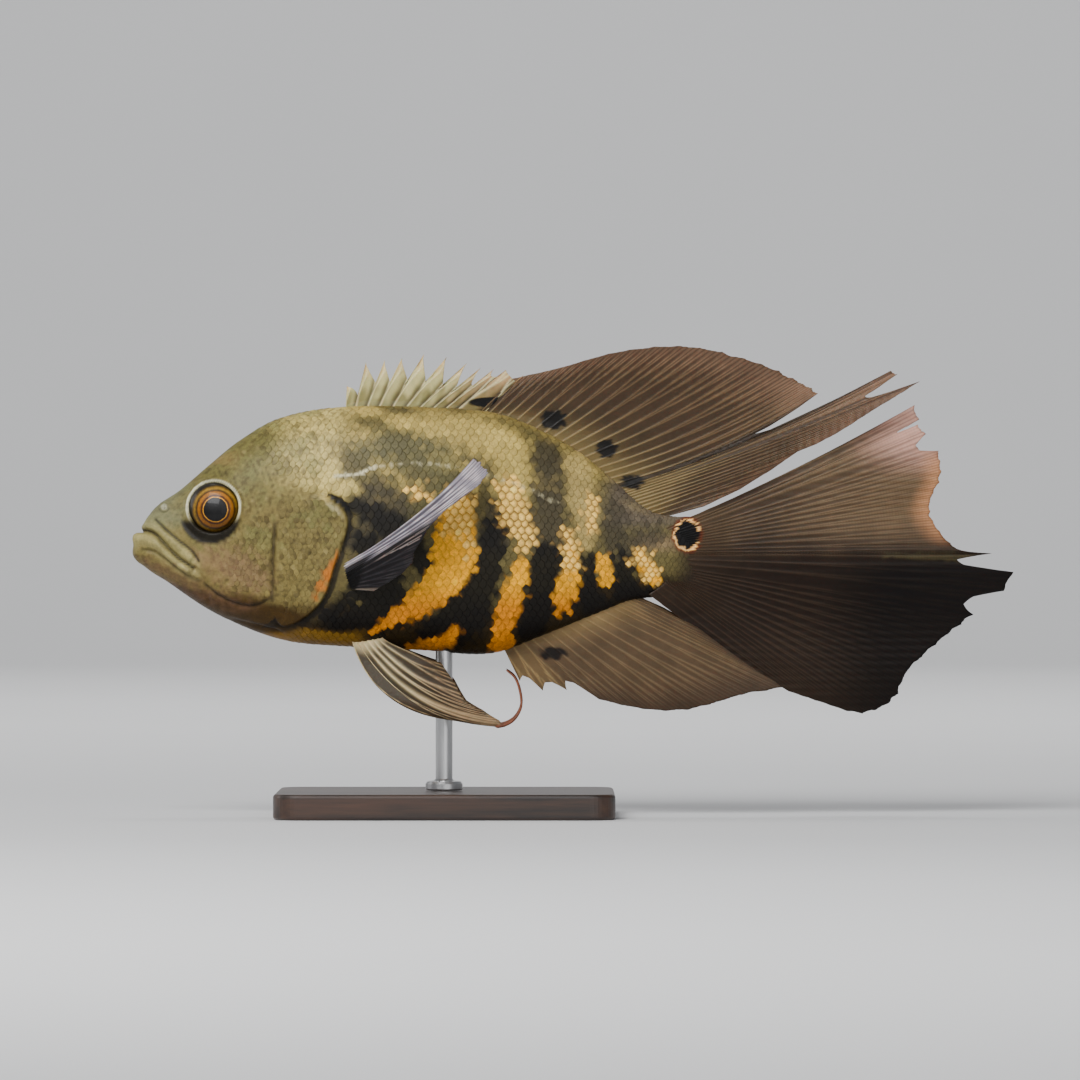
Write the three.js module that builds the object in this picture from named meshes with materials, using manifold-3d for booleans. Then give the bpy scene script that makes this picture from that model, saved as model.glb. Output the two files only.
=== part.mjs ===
// A life-size oscar fish on a small display stand, in millimetres, +Z up.
// The fish is drawn in its own side view: s runs from the lip tip back along the body, h is the
// height above the mouth, and y is the side, with the fish's left flank at -y.
import * as THREE from "three";
import { mergeVertices } from "three/addons/utils/BufferGeometryUtils.js";
import Module from "manifold-3d";

const wasm = await Module();
wasm.setup();

// Driving sizes
const BODY_END = 201; // lip tip to the root of the tail fin
const MOUTH_ABOVE_FLOOR = 98;
const GAP = 0.3; // kept between pieces that touch
const BODY_SIDES = 28;
const BODY_RINGS = 32;

const EYE = { s: 30.2, h: 11.5, y: 10.8, wide: 9.1, deep: 5 };
const EYE_FACES = new THREE.Vector3(-0.2, -1, 0.18).normalize();
const ORBIT_RIM = { radius: 9.2, thick: 0.9, y: 12.1 };
const NOSTRIL = { s: 12.4, h: 11.8, radius: 0.95, rim: 0.55 };

const MEMBRANE = 0.3; // half the thickness of a fin's web
const RAY_RIDGE = 0.28; // how far a ray stands proud of the web on each side
const FIN_ROOT = 1.5; // half the thickness where a fin leaves the body
const FIN_TIP = 0.25;

const BASE = { from: 52, to: 172, deep: 92, thick: 9, corner: 9, bevel: 1.2 };
const ROD = { s: 111.5, radius: 3 };

// The body's outline and girth, each as (s, value) pairs
const back = through([
  [1.2, 0], [4, 4.6], [9, 11.5], [18, 17.9], [28, 26.5], [39, 35.4], [53, 43.2], [75, 47.2],
  [110, 47], [131, 44.8], [146, 39], [160, 31], [174, 19.5], [183, 11.6], [191, 9], [BODY_END, 8.4],
]);
const belly = through([
  [1.2, 0], [3.6, -7.6], [14, -15.3], [28, -24.7], [43, -31.8], [57, -36], [78, -37.8],
  [103, -39], [128, -40.2], [146, -34], [167, -25.6], [178, -21.3], [190, -20.2], [BODY_END, -19.4],
]);
const halfWidth = through([
  [1.2, 0], [3, 4], [8, 8.3], [18, 11.8], [30, 14.4], [45, 16.9], [60, 18.7], [76, 19.6],
  [95, 19.4], [115, 18], [135, 15], [155, 11], [175, 7.4], [190, 5.2], [BODY_END, 3.6],
]);
const widestAt = through([
  [1.2, 0], [20, -1], [40, -3], [70, -6], [100, -4], [130, -1], [160, -3], [180, -4.8],
  [BODY_END, -5.5],
]);
const roundness = through([[0, 2.1], [30, 2.3], [60, 2.2], [110, 2], [170, 1.9], [BODY_END, 2]]);

// A smooth function of s through the given points, without overshoot.
function through(points) {
  const slope = points.map((p, i) => {
    const before = points[i - 1] ?? p;
    const after = points[i + 1] ?? p;
    return (after[1] - before[1]) / (after[0] - before[0]);
  });
  return (s) => {
    let i = points.findIndex((p) => p[0] > s) - 1;
    if (i < 0) i = s < points[0][0] ? 0 : points.length - 2;
    const [a, b] = [points[i], points[i + 1]];
    const step = b[0] - a[0];
    const t = THREE.MathUtils.clamp((s - a[0]) / step, 0, 1);
    const rise = b[1] - a[1];
    const leave = slope[i] * step - rise;
    const arrive = rise - slope[i + 1] * step;
    return a[1] + rise * t + t * (1 - t) * (leave * (1 - t) + arrive * t);
  };
}

// A point of the body's surface: around is 0 on the back, a quarter turn on the right flank.
function skinPoint(s, around, grow = 0) {
  const level = widestAt(s);
  const power = 2 / roundness(s);
  const across = Math.sin(around);
  const up = Math.cos(around);
  const reach = up > 0 ? back(s) - level : level - belly(s);
  return new THREE.Vector3(
    s,
    Math.sign(across) * Math.abs(across) ** power * (halfWidth(s) + grow),
    level + Math.sign(up) * Math.abs(up) ** power * (reach + grow),
  );
}

// How far out the left flank is at a point of the side view, as a positive number.
function flankAt(s, h) {
  const level = widestAt(s);
  const reach = h > level ? back(s) - level : level - belly(s);
  const n = roundness(s);
  const share = Math.min(1, Math.abs(h - level) / reach);
  return halfWidth(s) * (1 - share ** n) ** (1 / n);
}

// Solids from three.js geometry, and back
function solidOf(geometry) {
  const bare = geometry.clone();
  bare.deleteAttribute("normal");
  bare.deleteAttribute("uv");
  const merged = mergeVertices(bare, 1e-4);
  return new wasm.Manifold(
    new wasm.Mesh({
      numProp: 3,
      vertProperties: new Float32Array(merged.attributes.position.array),
      triVerts: new Uint32Array(merged.index.array),
    }),
  );
}

function geometryOf(solid) {
  const mesh = solid.getMesh();
  const geometry = new THREE.BufferGeometry();
  geometry.setAttribute("position", new THREE.BufferAttribute(mesh.vertProperties, 3));
  geometry.setIndex(new THREE.BufferAttribute(mesh.triVerts, 1));
  geometry.computeVertexNormals();
  return geometry;
}

const largest = (solid) =>
  solid.decompose().reduce((best, piece) => (piece.volume() > best.volume() ? piece : best));

// The fish's flesh as one closed body, grown or shrunk by a few tenths of a millimetre.
function fleshSolid(grow = 0) {
  const geometry = new THREE.SphereGeometry(1, BODY_SIDES, BODY_RINGS);
  const place = geometry.attributes.position;
  const start = 1.2 - grow;
  const end = BODY_END + grow;
  for (let i = 0; i < place.count; i++) {
    const point = new THREE.Vector3().fromBufferAttribute(place, i);
    const along = Math.acos(THREE.MathUtils.clamp(point.y, -1, 1)) / Math.PI;
    const s = start + (end - start) * along ** 1.45;
    const pole = Math.hypot(point.x, point.z) < 1e-6;
    const skin = pole
      ? new THREE.Vector3(s, 0, widestAt(s))
      : skinPoint(s, Math.atan2(point.x, point.z), grow);
    place.setXYZ(i, skin.x, skin.y, skin.z);
  }
  return solidOf(geometry);
}

// An outline of the side view made solid from one side to the other.
function prism(outline, fromY, toY) {
  const shape = new THREE.Shape(outline.map(([s, h]) => new THREE.Vector2(s, h)));
  const geometry = new THREE.ExtrudeGeometry(shape, { depth: toY - fromY, bevelEnabled: false });
  geometry.rotateX(Math.PI / 2).translate(0, toY, 0);
  return solidOf(geometry);
}

// A smooth line of the side view, as a thin wall from side to side.
function wall(path, width, fromY, toY, steps = 24) {
  const curve = new THREE.SplineCurve(path.map(([s, h]) => new THREE.Vector2(s, h)));
  const edge = (side) =>
    curve.getSpacedPoints(steps).map((p, i) => {
      const t = curve.getTangentAt(i / steps);
      return [p.x - (t.y * side * width) / 2, p.y + (t.x * side * width) / 2];
    });
  return prism([...edge(1), ...edge(-1).reverse()], fromY, toY);
}

// A round bar along a curve, whose radius changes along it.
function taperedBar(points, radiusAt, steps = 24, sides = 8) {
  const curve = new THREE.CatmullRomCurve3(points);
  const frames = curve.computeFrenetFrames(steps, false);
  const geometry = new THREE.CylinderGeometry(1, 1, 1, sides, steps);
  const place = geometry.attributes.position;
  for (let i = 0; i < place.count; i++) {
    const at = Math.round((0.5 - place.getY(i)) * steps);
    const radius = radiusAt(at / steps);
    const point = curve
      .getPointAt(at / steps)
      .addScaledVector(frames.normals[at], place.getX(i) * radius)
      .addScaledVector(frames.binormals[at], place.getZ(i) * radius);
    place.setXYZ(i, point.x, point.y, point.z);
  }
  const solid = solidOf(geometry);
  return solid.volume() > 0 ? solid : solidOf(turnedInsideOut(geometry));
}

function turnedInsideOut(geometry) {
  const order = geometry.index.array;
  for (let i = 0; i < order.length; i += 3) {
    [order[i + 1], order[i + 2]] = [order[i + 2], order[i + 1]];
  }
  return geometry;
}

const mirrored = (solid) => solid.mirror([0, 1, 0]);

// Head: lips, mouth, orbits, nostrils and the folds of the cheek
const MOUTH_LINE = [
  [-3, 3.6], [3.9, 3.5], [7.1, 3.2], [9.9, 1.6], [12.4, -1.1], [14.9, -3.7], [17.8, -6.5], [23.1, -10],
];
const JAW_REAR = [[22.9, -9.7], [25.4, -14.5], [27.2, -21], [28, -30]];
const UPPER_LIP = [[6.4, 4.5], [8, 4.1], [11, 2.5], [14.8, -1], [18.8, -4.9], [22.6, -8.2]];
const LOWER_LIP = [[3.1, 0.2], [5.6, 0], [9.8, -1.8], [13.6, -5.6], [17.6, -9], [21.6, -11.8]];
const LIP_ROOM = [0, 5.2, 8, 9.6, 11, 11.8]; // how far out each of the lips' points lies
const LIP_THICK = { upper: 2.2, lower: 2.6, corner: 1.2 };
const CHEEK_FOLDS = [
  [[9.6, 7], [14.2, 2.6], [18.5, -0.9], [22.4, -3.8], [25, -7.6]],
  [[26.6, -15.5], [31.9, -19.5], [39, -22.8], [45.4, -23.2], [49.6, -20.9]],
  [[14.5, -11.5], [20, -13.9], [26, -17]],
];
const FOLD = { width: 0.5, depth: 0.7 };

function lip(line, thick, thin) {
  const left = line.map(([s, h], i) => new THREE.Vector3(s, -LIP_ROOM[i], h));
  const right = left.slice(1).map((p) => new THREE.Vector3(p.x, -p.y, p.z));
  const bothSides = [...left.reverse(), ...right];
  const bulge = (t) => thin + (thick - thin) * Math.sin(Math.PI * t) ** 0.7;
  return taperedBar(bothSides, bulge, 16, 7);
}

function eyeball(grow = 0) {
  const geometry = new THREE.SphereGeometry(1, 16, 10);
  geometry.scale(EYE.wide + grow, EYE.deep + grow, EYE.wide + grow);
  const turn = new THREE.Quaternion().setFromUnitVectors(new THREE.Vector3(0, -1, 0), EYE_FACES);
  geometry.applyQuaternion(turn).translate(EYE.s, -EYE.y, EYE.h);
  return solidOf(geometry);
}

function orbitRim() {
  const geometry = new THREE.TorusGeometry(ORBIT_RIM.radius, ORBIT_RIM.thick, 5, 18);
  const turn = new THREE.Quaternion().setFromUnitVectors(new THREE.Vector3(0, 0, 1), EYE_FACES);
  geometry.applyQuaternion(turn).translate(EYE.s, -ORBIT_RIM.y, EYE.h);
  return solidOf(geometry);
}

function nostril(radius, tube) {
  const out = flankAt(NOSTRIL.s, NOSTRIL.h);
  const geometry = tube
    ? new THREE.TorusGeometry(radius, tube, 5, 10).rotateX(Math.PI / 2)
    : new THREE.SphereGeometry(radius, 8, 5);
  geometry.rotateZ(-0.5).translate(NOSTRIL.s, -out, NOSTRIL.h);
  return solidOf(geometry);
}

const onBothSides = (solid) => solid.add(mirrored(solid));

// Gill covers, cut from a slightly fuller body so that their rear edge stands off the shoulder
const GILL_COVER = [
  [52.2, 6.5], [51.4, -7.1], [51.1, -20.2], [54.2, -29.8], [60.3, -28.6], [66.7, -23.8],
  [70.5, -17.8], [73, -9.5], [75.6, -2.8], [77.5, 2.8], [77.7, 7.8], [75.4, 11.9], [70, 14.4],
  [62, 15], [55.5, 12.4],
];
const COVER = { proud: 0.8, thick: 3 };

function spacedOutline(points, steps, grow) {
  const centre = points.reduce(([a, b], [s, h]) => [a + s, b + h], [0, 0]).map((v) => v / points.length);
  const closed = new THREE.SplineCurve([...points, points[0]].map(([s, h]) => new THREE.Vector2(s, h)));
  return closed
    .getSpacedPoints(steps)
    .slice(0, -1)
    .map((p) => {
      const away = Math.hypot(p.x - centre[0], p.y - centre[1]);
      return [p.x + ((p.x - centre[0]) / away) * grow, p.y + ((p.y - centre[1]) / away) * grow];
    });
}

// Fins. A key ray is a foot and a tip, each as (s, h, y), and how far its middle bows from the chord.
const ray = (foot, tip, bow = 0) => ({ foot: point3(foot), tip: point3(tip), bow });
const point3 = ([s, h, y = 0]) => new THREE.Vector3(s, y, h);

function curveThrough(points, at) {
  return new THREE.CatmullRomCurve3(points).getPoint(at);
}

// Rays spread evenly between a lobe's key rays.
function lobe(keys, count) {
  return Array.from({ length: count }, (_, i) => {
    const at = count === 1 ? 0 : i / (count - 1);
    const place = at * (keys.length - 1);
    const k = Math.min(Math.floor(place), keys.length - 2);
    return {
      foot: curveThrough(keys.map((key) => key.foot), at),
      tip: curveThrough(keys.map((key) => key.tip), at),
      bow: THREE.MathUtils.lerp(keys[k].bow, keys[k + 1].bow, place - k),
    };
  });
}

function between(a, b, share) {
  return {
    foot: a.foot.clone().lerp(b.foot, share),
    tip: a.tip.clone().lerp(b.tip, share),
    bow: THREE.MathUtils.lerp(a.bow, b.bow, share),
  };
}

// The columns of a fin's sheet: each ray, and the web between it and the next. web says how much
// of its length the web has, and a tear is the place between two lobes, with its own web. A seam
// is the sheet's own edge, where another sheet lies alongside.
function finColumns(lobes, web, tears = [], { first, last } = {}) {
  const columns = first ? [first] : [];
  lobes.forEach((rays, l) => {
    rays.forEach((each, i) => {
      columns.push({ ...each, reach: 1, ridge: 1 });
      const next = rays[i + 1] ?? lobes[l + 1]?.[0];
      if (!next) return;
      const share = rays[i + 1] ? web : tears[l];
      columns.push({ ...between(each, next, 0.5), reach: share, ridge: 0 });
    });
  });
  return last ? [...columns, last] : columns;
}

// The two edges of a seam between rays a and b, for the sheets on either side of it.
const seam = (a, b, reach) =>
  [0.4, 0.6].map((share) => ({ ...between(a, b, share), reach, ridge: 0 }));

// A fin as one closed sheet. Both faces are split into triangles alike.
function finSolid(columns, rows, { bend = () => 0, root = FIN_ROOT, tip = FIN_TIP } = {}) {
  const across = columns.length - 1;
  const places = [];
  for (let j = 0; j <= rows; j++) {
    for (const column of columns) {
      const v = (j / rows) * column.reach;
      const chord = column.tip.clone().sub(column.foot);
      const side = new THREE.Vector3(chord.z, 0, -chord.x).normalize();
      const point = column.foot.clone().addScaledVector(chord, v);
      point.addScaledVector(side, column.bow * 4 * v * (1 - v));
      point.y += bend(v, point);
      places.push(point);
    }
  }
  const at = (i, j) =>
    places[THREE.MathUtils.clamp(j, 0, rows) * (across + 1) + THREE.MathUtils.clamp(i, 0, across)];
  const grid = new THREE.PlaneGeometry(1, 1, across, rows).index.array;
  const count = places.length;
  const vertices = new Float32Array(count * 6);
  places.forEach((point, n) => {
    const [i, j] = [n % (across + 1), Math.floor(n / (across + 1))];
    const along = at(i + 2, j).clone().sub(at(i - 2, j));
    const up = at(i, j + 1).clone().sub(at(i, j - 1));
    const out = along.cross(up).normalize();
    const v = j / rows;
    const half =
      THREE.MathUtils.lerp(Math.max(root * (1 - v * 3.2), MEMBRANE), tip, v * v * 0.8) +
      RAY_RIDGE * columns[i].ridge * (1 - v * v);
    point.clone().addScaledVector(out, half).toArray(vertices, n * 3);
    point.clone().addScaledVector(out, -half).toArray(vertices, (count + n) * 3);
  });
  const faces = [];
  for (let i = 0; i < grid.length; i += 3) {
    const [a, b, c] = grid.slice(i, i + 3);
    faces.push(a, b, c, count + a, count + c, count + b);
  }
  const rim = [];
  for (let i = 0; i < across; i++) rim.push(i);
  for (let j = 0; j < rows; j++) rim.push(j * (across + 1) + across);
  for (let i = across; i > 0; i--) rim.push(rows * (across + 1) + i);
  for (let j = rows; j > 0; j--) rim.push(j * (across + 1));
  rim.forEach((a, i) => {
    const b = rim[(i + 1) % rim.length];
    faces.push(a, b, count + b, a, count + b, count + a);
  });
  const geometry = new THREE.BufferGeometry();
  geometry.setAttribute("position", new THREE.BufferAttribute(vertices, 3));
  geometry.setIndex(faces);
  const solid = solidOf(geometry);
  return solid.volume() > 0 ? solid : solidOf(turnedInsideOut(geometry));
}

const SPINES = [
  ray([76.5, 46, 0], [76.3, 55.4, 0]), ray([80, 46, 0], [83.8, 63.2, -0.6]),
  ray([84, 46, 0], [90.5, 63.9, 0.5]), ray([88, 45.8, 0], [96.6, 64.6, -0.4]),
  ray([92.5, 45.6, 0], [104.4, 66, 0.6]), ray([97, 45.5, 0], [112.5, 65, -0.5]),
  ray([101.6, 45.4, 0], [119.6, 62.8, 0.4]), ray([106, 45.2, 0], [124.6, 61.2, -0.5]),
  ray([110.2, 45, 0], [129.2, 60.7, 0.3]), ray([114.4, 44.6, 0], [133.5, 60.4, -0.3]),
];
const SPINE = { web: 0.94, notch: 0.66 };

// Each spine carries a pointed flap of web behind it, which drops to the front of the next one.
function spineColumns() {
  return SPINES.flatMap((each, i) => {
    const next = SPINES[i + 1];
    const spine = { ...each, reach: 1, ridge: 2 };
    if (!next) return [spine, { ...between(each, shifted(each, 5), 0.7), reach: 0.62, ridge: 0 }];
    return [
      spine,
      { ...between(each, next, 0.35), reach: SPINE.web, ridge: 0 },
      { ...between(each, next, 0.75), reach: SPINE.notch, ridge: 0 },
    ];
  });
}

function shifted(each, by) {
  const move = new THREE.Vector3(by, 0, -by * 0.2);
  return { foot: each.foot.clone().add(move), tip: each.tip.clone().add(move), bow: each.bow };
}

const DORSAL_MAIN = [
  ray([121, 42, 0], [136, 57.4, 0]), ray([130, 41, 0], [152.7, 61.3, 0.5]),
  ray([139.5, 37, 0], [175.7, 67.5, 1.5]), ray([147.5, 33, 0], [198.8, 69, 2], 1),
  ray([154.5, 28.5, 0], [220.1, 64.3, 2], 2), ray([161, 23.6, 0], [236.8, 57.4, 1.5], 3),
  ray([167, 18.6, 0], [244.8, 52.4, 1], 3.6),
];
const DORSAL_TRAIL_TIP = [
  ray([169, 16.8, 0], [270.9, 60.6, -2], 3.4), ray([170, 16, 0], [272.6, 59, -2.1], 2.8),
];
const DORSAL_TRAIL = [
  ray([171, 15.4, 0], [280.2, 56.2, -2.4], 1.6), ray([172, 14.4, 0], [274.1, 52.2, -2.5], 1.4),
  ray([173, 13.4, 0], [263.4, 45.8, -2.4], 1.2), ray([174.4, 12, 0], [255.4, 40.5, -2.2], 1),
  ray([176, 10.6, 0], [246.6, 35.4, -2], 0.6), ray([178, 8.8, 0], [236.6, 31.2, -1.6], 0.4),
  ray([180, 7.4, 0], [221.9, 20.8, -1]), ray([182, 6, 0], [204, 12, 0]),
];
const DORSAL_SLIT = 0.62;
const TRAIL_SLIT = 0.87;

const TAIL_UPPER = [
  [ray([190, 4.2, 0], [279.2, 48.2, 5], 1.4), ray([190, 3.2, 0], [280.8, 43, 4], 1)],
  [ray([190, 2.4, 0], [280.4, 41.2, 3.8], 0.8), ray([190, 1.6, 0], [283.4, 38, 3.4], 0.6)],
  [ray([190, 0.8, 0], [287.6, 31.8, 2.6], 0.4), ray([190, -0.5, 0], [288.6, 22.8, 1.4]),
    ray([190, -1.7, 0], [284.7, 14.2, 0.6]), ray([190, -2.9, 0], [285.8, 6.4, 0]),
    ray([190, -4.1, 0], [293.9, -3, -0.5]), ray([190, -5.3, 0], [306, -4.8, 0])],
];
const TAIL_LOWER = [
  [ray([190, -6.4, 0], [314.2, -11.4, 1]), ray([190, -7.6, 0], [311.3, -18.1, 3])],
  [ray([190, -8.8, 0], [300, -26.6, 6]), ray([190, -10, 0], [289.3, -35.5, 9]),
    ray([190, -11.2, 0], [277.6, -46.1, 11]), ray([190, -12.4, 0], [272.3, -56.8, 12]),
    ray([190, -13.6, 0], [260.9, -62.1, 10.5]), ray([190, -14.8, 0], [246.7, -58.2, 8]),
    ray([188, -16.2, 0], [234.3, -54, 6])],
];
const TAIL_RAYS = { upper: [2, 2, 8], lower: [2, 10] };
const TAIL_TEARS = { upper: [0.92, 0.95], lower: [0.82] };
const TAIL_SEAM = 0.88;
const TAIL_CUP = 0.0011; // how much the tail's upper and lower corners turn away to the right

const ANAL_SPINES = [
  ray([131, -35, 0], [138.4, -50.1, 0]), ray([133.5, -34, 0], [146.6, -53.6, 0]),
  ray([136.5, -33, 0], [155.2, -53.4, 0]),
];
const ANAL_SOFT = [
  ray([139, -32, 0], [166.8, -56.8, -0.5]), ray([144.5, -30, 0], [181, -60, -1]),
  ray([150, -28, 0], [195.2, -60.9, -1.6]), ray([155, -26, 0], [207.7, -58.2, -2]),
  ray([160, -24, 0], [218.3, -54.9, -1.6]), ray([165, -21.5, 0], [231.6, -52.6, -1]),
  ray([168.5, -20, 0], [226.2, -48.8, -0.6]), ray([171.5, -19, 0], [215, -41.2, 0]),
  ray([174, -18.4, 0], [201.5, -31, 0]), ray([176, -18, 0], [189, -23.8, 0]),
];

const PELVIC = [
  ray([78.5, -34.5, -5.5], [110, -63, -13], 6.6), ray([80, -34.5, -5.6], [133.1, -66, -16], 8.6),
  ray([82, -34.5, -6], [131, -64.4, -16.4], 7), ray([84, -34.5, -6.6], [125, -60.6, -16.6], 4.5),
  ray([86, -34.8, -7.2], [119.3, -57.2, -16.2], 2.6), ray([88, -35, -7.8], [115.2, -50, -14.6], 1.2),
  ray([90, -35.2, -8.4], [110.6, -43.4, -12.4], 0.4),
];
const PELVIC_FILAMENT = [
  [132.8, -64.6], [136.7, -63], [138.9, -58.6], [138.4, -53.2], [136.6, -48.6], [133.4, -45.8],
];
const FILAMENT = { radius: 0.75, end: 0.35, from: -16.6, to: -13 };

const PECTORAL = [
  ray([74.8, -9.6, -17.6], [123.4, 30.2, -21.5], 3), ray([75.2, -10.4, -17.6], [127.4, 26.4, -26], 2.2),
  ray([75.8, -11.4, -17.6], [126.7, 21.6, -29.5], 1.4), ray([76.4, -12.4, -17.5], [118, 15, -32], 0.8),
  ray([77, -13.4, -17.4], [109.3, 7.4, -32.5]), ray([77.6, -14.4, -17.3], [102.8, -2.6, -31]),
  ray([78.1, -15.4, -17.2], [101.2, -8.4, -28.6]), ray([78.6, -16.4, -17], [94.1, -13.9, -25]),
  ray([79, -17.4, -16.8], [87.2, -18, -20.6]),
];
const PECTORAL_LIFT = 4; // how far the fin stands off the flank soon after its root

// The pieces, built in the fish's own frame
const flesh = fleshSolid();
const fleshWithGap = fleshSolid(GAP);
const underFold = fleshSolid(-FOLD.depth);
const WIDE = 60;

const coverOutline = spacedOutline(GILL_COVER, 34, 0);
const pocketOutline = spacedOutline(GILL_COVER, 34, GAP);
const leftCover = largest(
  prism(coverOutline, -WIDE, -4).intersect(fleshSolid(COVER.proud)).subtract(fleshSolid(-COVER.thick)),
);
const leftPocket = prism(pocketOutline, -WIDE, -4).subtract(fleshSolid(-COVER.thick - GAP));
const gillCovers = { left: leftCover, right: mirrored(leftCover) };

const HEAD_REAR = [[78, 56], [73.8, 32], [72, 15], [68, 0], [63, -17], [57.5, -31], [55, -46]];
const STEM_FRONT = 181;

const bodyWithPockets = flesh.subtract(onBothSides(leftPocket));
const bodyParts = bodyWithPockets
  .subtract(wall(HEAD_REAR, GAP, -WIDE, WIDE, 14))
  .subtract(wall([[STEM_FRONT, -60], [STEM_FRONT, 60]], GAP, -WIDE, WIDE, 1))
  .decompose()
  .filter((piece) => piece.volume() > 500)
  .sort((a, b) => a.boundingBox().min[0] - b.boundingBox().min[0]);
const [headBlock, torso, tailStem] = bodyParts;

const folds = CHEEK_FOLDS.map((path) =>
  onBothSides(wall(path, FOLD.width, -WIDE, -2, 9).subtract(underFold)),
);
const withLips = headBlock
  .add(lip(UPPER_LIP, LIP_THICK.upper, LIP_THICK.corner))
  .add(lip(LOWER_LIP, LIP_THICK.lower, LIP_THICK.corner))
  .add(onBothSides(orbitRim()))
  .add(onBothSides(nostril(NOSTRIL.radius + 0.2, NOSTRIL.rim)));
const carved = folds
  .reduce((solid, fold) => solid.subtract(fold), withLips)
  .subtract(onBothSides(eyeball(GAP)))
  .subtract(onBothSides(nostril(NOSTRIL.radius)));
const jawWall = wall(MOUTH_LINE, 0.5, -WIDE, WIDE, 18).add(wall(JAW_REAR, GAP, -WIDE, WIDE, 6));
const [lowerJaw, head] = carved
  .subtract(jawWall)
  .decompose()
  .filter((piece) => piece.volume() > 200)
  .sort((a, b) => a.volume() - b.volume());

const cutFromBody = (columns, rows, form) =>
  largest(finSolid(columns, rows, form).subtract(fleshWithGap));
const dorsalSpines = cutFromBody(spineColumns(), 5, { root: 1.7 });
const dorsalBend = (v, p) => 1.6 * v * v * Math.sin(p.x / 17) - 1.2 * v;
const dorsalSeam = seam(DORSAL_MAIN.at(-1), DORSAL_TRAIL_TIP[0], DORSAL_SLIT);
const dorsalSoft = cutFromBody(
  finColumns([lobe(DORSAL_MAIN, 17)], 0.97, [], { last: dorsalSeam[0] }),
  8,
  { bend: dorsalBend },
);
const dorsalTrail = cutFromBody(
  finColumns([DORSAL_TRAIL_TIP, lobe(DORSAL_TRAIL, 9)], 0.97, [TRAIL_SLIT], { first: dorsalSeam[1] }),
  8,
  { bend: dorsalBend },
);

const tailBend = (v, p) => v * (TAIL_CUP * (p.z + 6) ** 2 + 1.1 * Math.sin(p.z / 6) * v);
const tailForm = { bend: tailBend, root: 3.2 };
const tailSeam = seam(TAIL_UPPER.at(-1).at(-1), TAIL_LOWER[0][0], TAIL_SEAM);
const tailLobes = (keys, counts) => keys.map((each, i) => lobe(each, counts[i]));
const tailUpper = cutFromBody(
  finColumns(tailLobes(TAIL_UPPER, TAIL_RAYS.upper), 0.975, TAIL_TEARS.upper, { last: tailSeam[0] }),
  9,
  tailForm,
);
const tailLower = cutFromBody(
  finColumns(tailLobes(TAIL_LOWER, TAIL_RAYS.lower), 0.975, TAIL_TEARS.lower, { first: tailSeam[1] }),
  9,
  tailForm,
);

const analColumns = finColumns([ANAL_SPINES, lobe(ANAL_SOFT, 15)], 0.96, [0.8]);
const analBend = (v, p) => 1.4 * v * v * Math.sin(p.x / 14) + 0.8 * v;
const analFin = cutFromBody(analColumns, 8, { bend: analBend });

const pelvicBend = (v) => -2.5 * Math.sin(Math.PI * v);
const leftPelvic = cutFromBody(finColumns([PELVIC], 0.95), 7, { bend: pelvicBend, root: 1.3 });
const filamentPath = PELVIC_FILAMENT.map(([s, h], i) => {
  const y = THREE.MathUtils.lerp(FILAMENT.from, FILAMENT.to, i / (PELVIC_FILAMENT.length - 1));
  return new THREE.Vector3(s, y, h);
});
const filamentRadius = (t) => THREE.MathUtils.lerp(FILAMENT.radius, FILAMENT.end, t);
const leftFilament = taperedBar(filamentPath, filamentRadius, 12, 6);
const pectoralBend = (v) => -PECTORAL_LIFT * (1 - (1 - v) ** 4);
const leftPectoral = cutFromBody(finColumns([lobe(PECTORAL, 11)], 0.96), 7, {
  bend: pectoralBend,
  root: 1.1,
});

// Stand
function roundedPlate({ from, to, deep, thick, corner, bevel }) {
  const [w, d] = [(to - from) / 2 - bevel, deep / 2 - bevel];
  const r = corner - bevel;
  const shape = new THREE.Shape();
  shape.moveTo(-w + r, -d).lineTo(w - r, -d).absarc(w - r, -d + r, r, -Math.PI / 2, 0);
  shape.lineTo(w, d - r).absarc(w - r, d - r, r, 0, Math.PI / 2);
  shape.lineTo(-w + r, d).absarc(-w + r, d - r, r, Math.PI / 2, Math.PI);
  shape.lineTo(-w, -d + r).absarc(-w + r, -d + r, r, Math.PI, 1.5 * Math.PI);
  const geometry = new THREE.ExtrudeGeometry(shape, {
    depth: thick - 2 * bevel,
    bevelThickness: bevel,
    bevelSize: bevel,
    bevelSegments: 2,
    curveSegments: 4,
  });
  geometry.translate((from + to) / 2, 0, bevel - MOUTH_ABOVE_FLOOR);
  return solidOf(geometry);
}

function standRod() {
  const foot = BASE.thick + GAP - MOUTH_ABOVE_FLOOR;
  const top = belly(ROD.s) + 6;
  const geometry = new THREE.CylinderGeometry(ROD.radius, ROD.radius, top - foot, 20);
  geometry.rotateX(Math.PI / 2).translate(ROD.s, 0, (top + foot) / 2);
  return largest(solidOf(geometry).subtract(fleshWithGap));
}

// The finished group
const finish = (color, roughness, metalness = 0) =>
  new THREE.MeshStandardMaterial({ color, roughness, metalness });
const skin = finish(0x6f6d4a, 0.45);
const web = finish(0x6a5a50, 0.5);
const pectoralWeb = finish(0x8d8794, 0.5);
const iris = finish(0xb9762e, 0.15);
const wood = finish(0x2a2320, 0.4);
const steel = finish(0xb8b6b0, 0.3, 1);

const group = new THREE.Group();
const fish = new THREE.Group();
group.add(fish);

function addPiece(name, solid, material) {
  const mesh = new THREE.Mesh(geometryOf(solid), material);
  mesh.name = name;
  fish.add(mesh);
}

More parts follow.
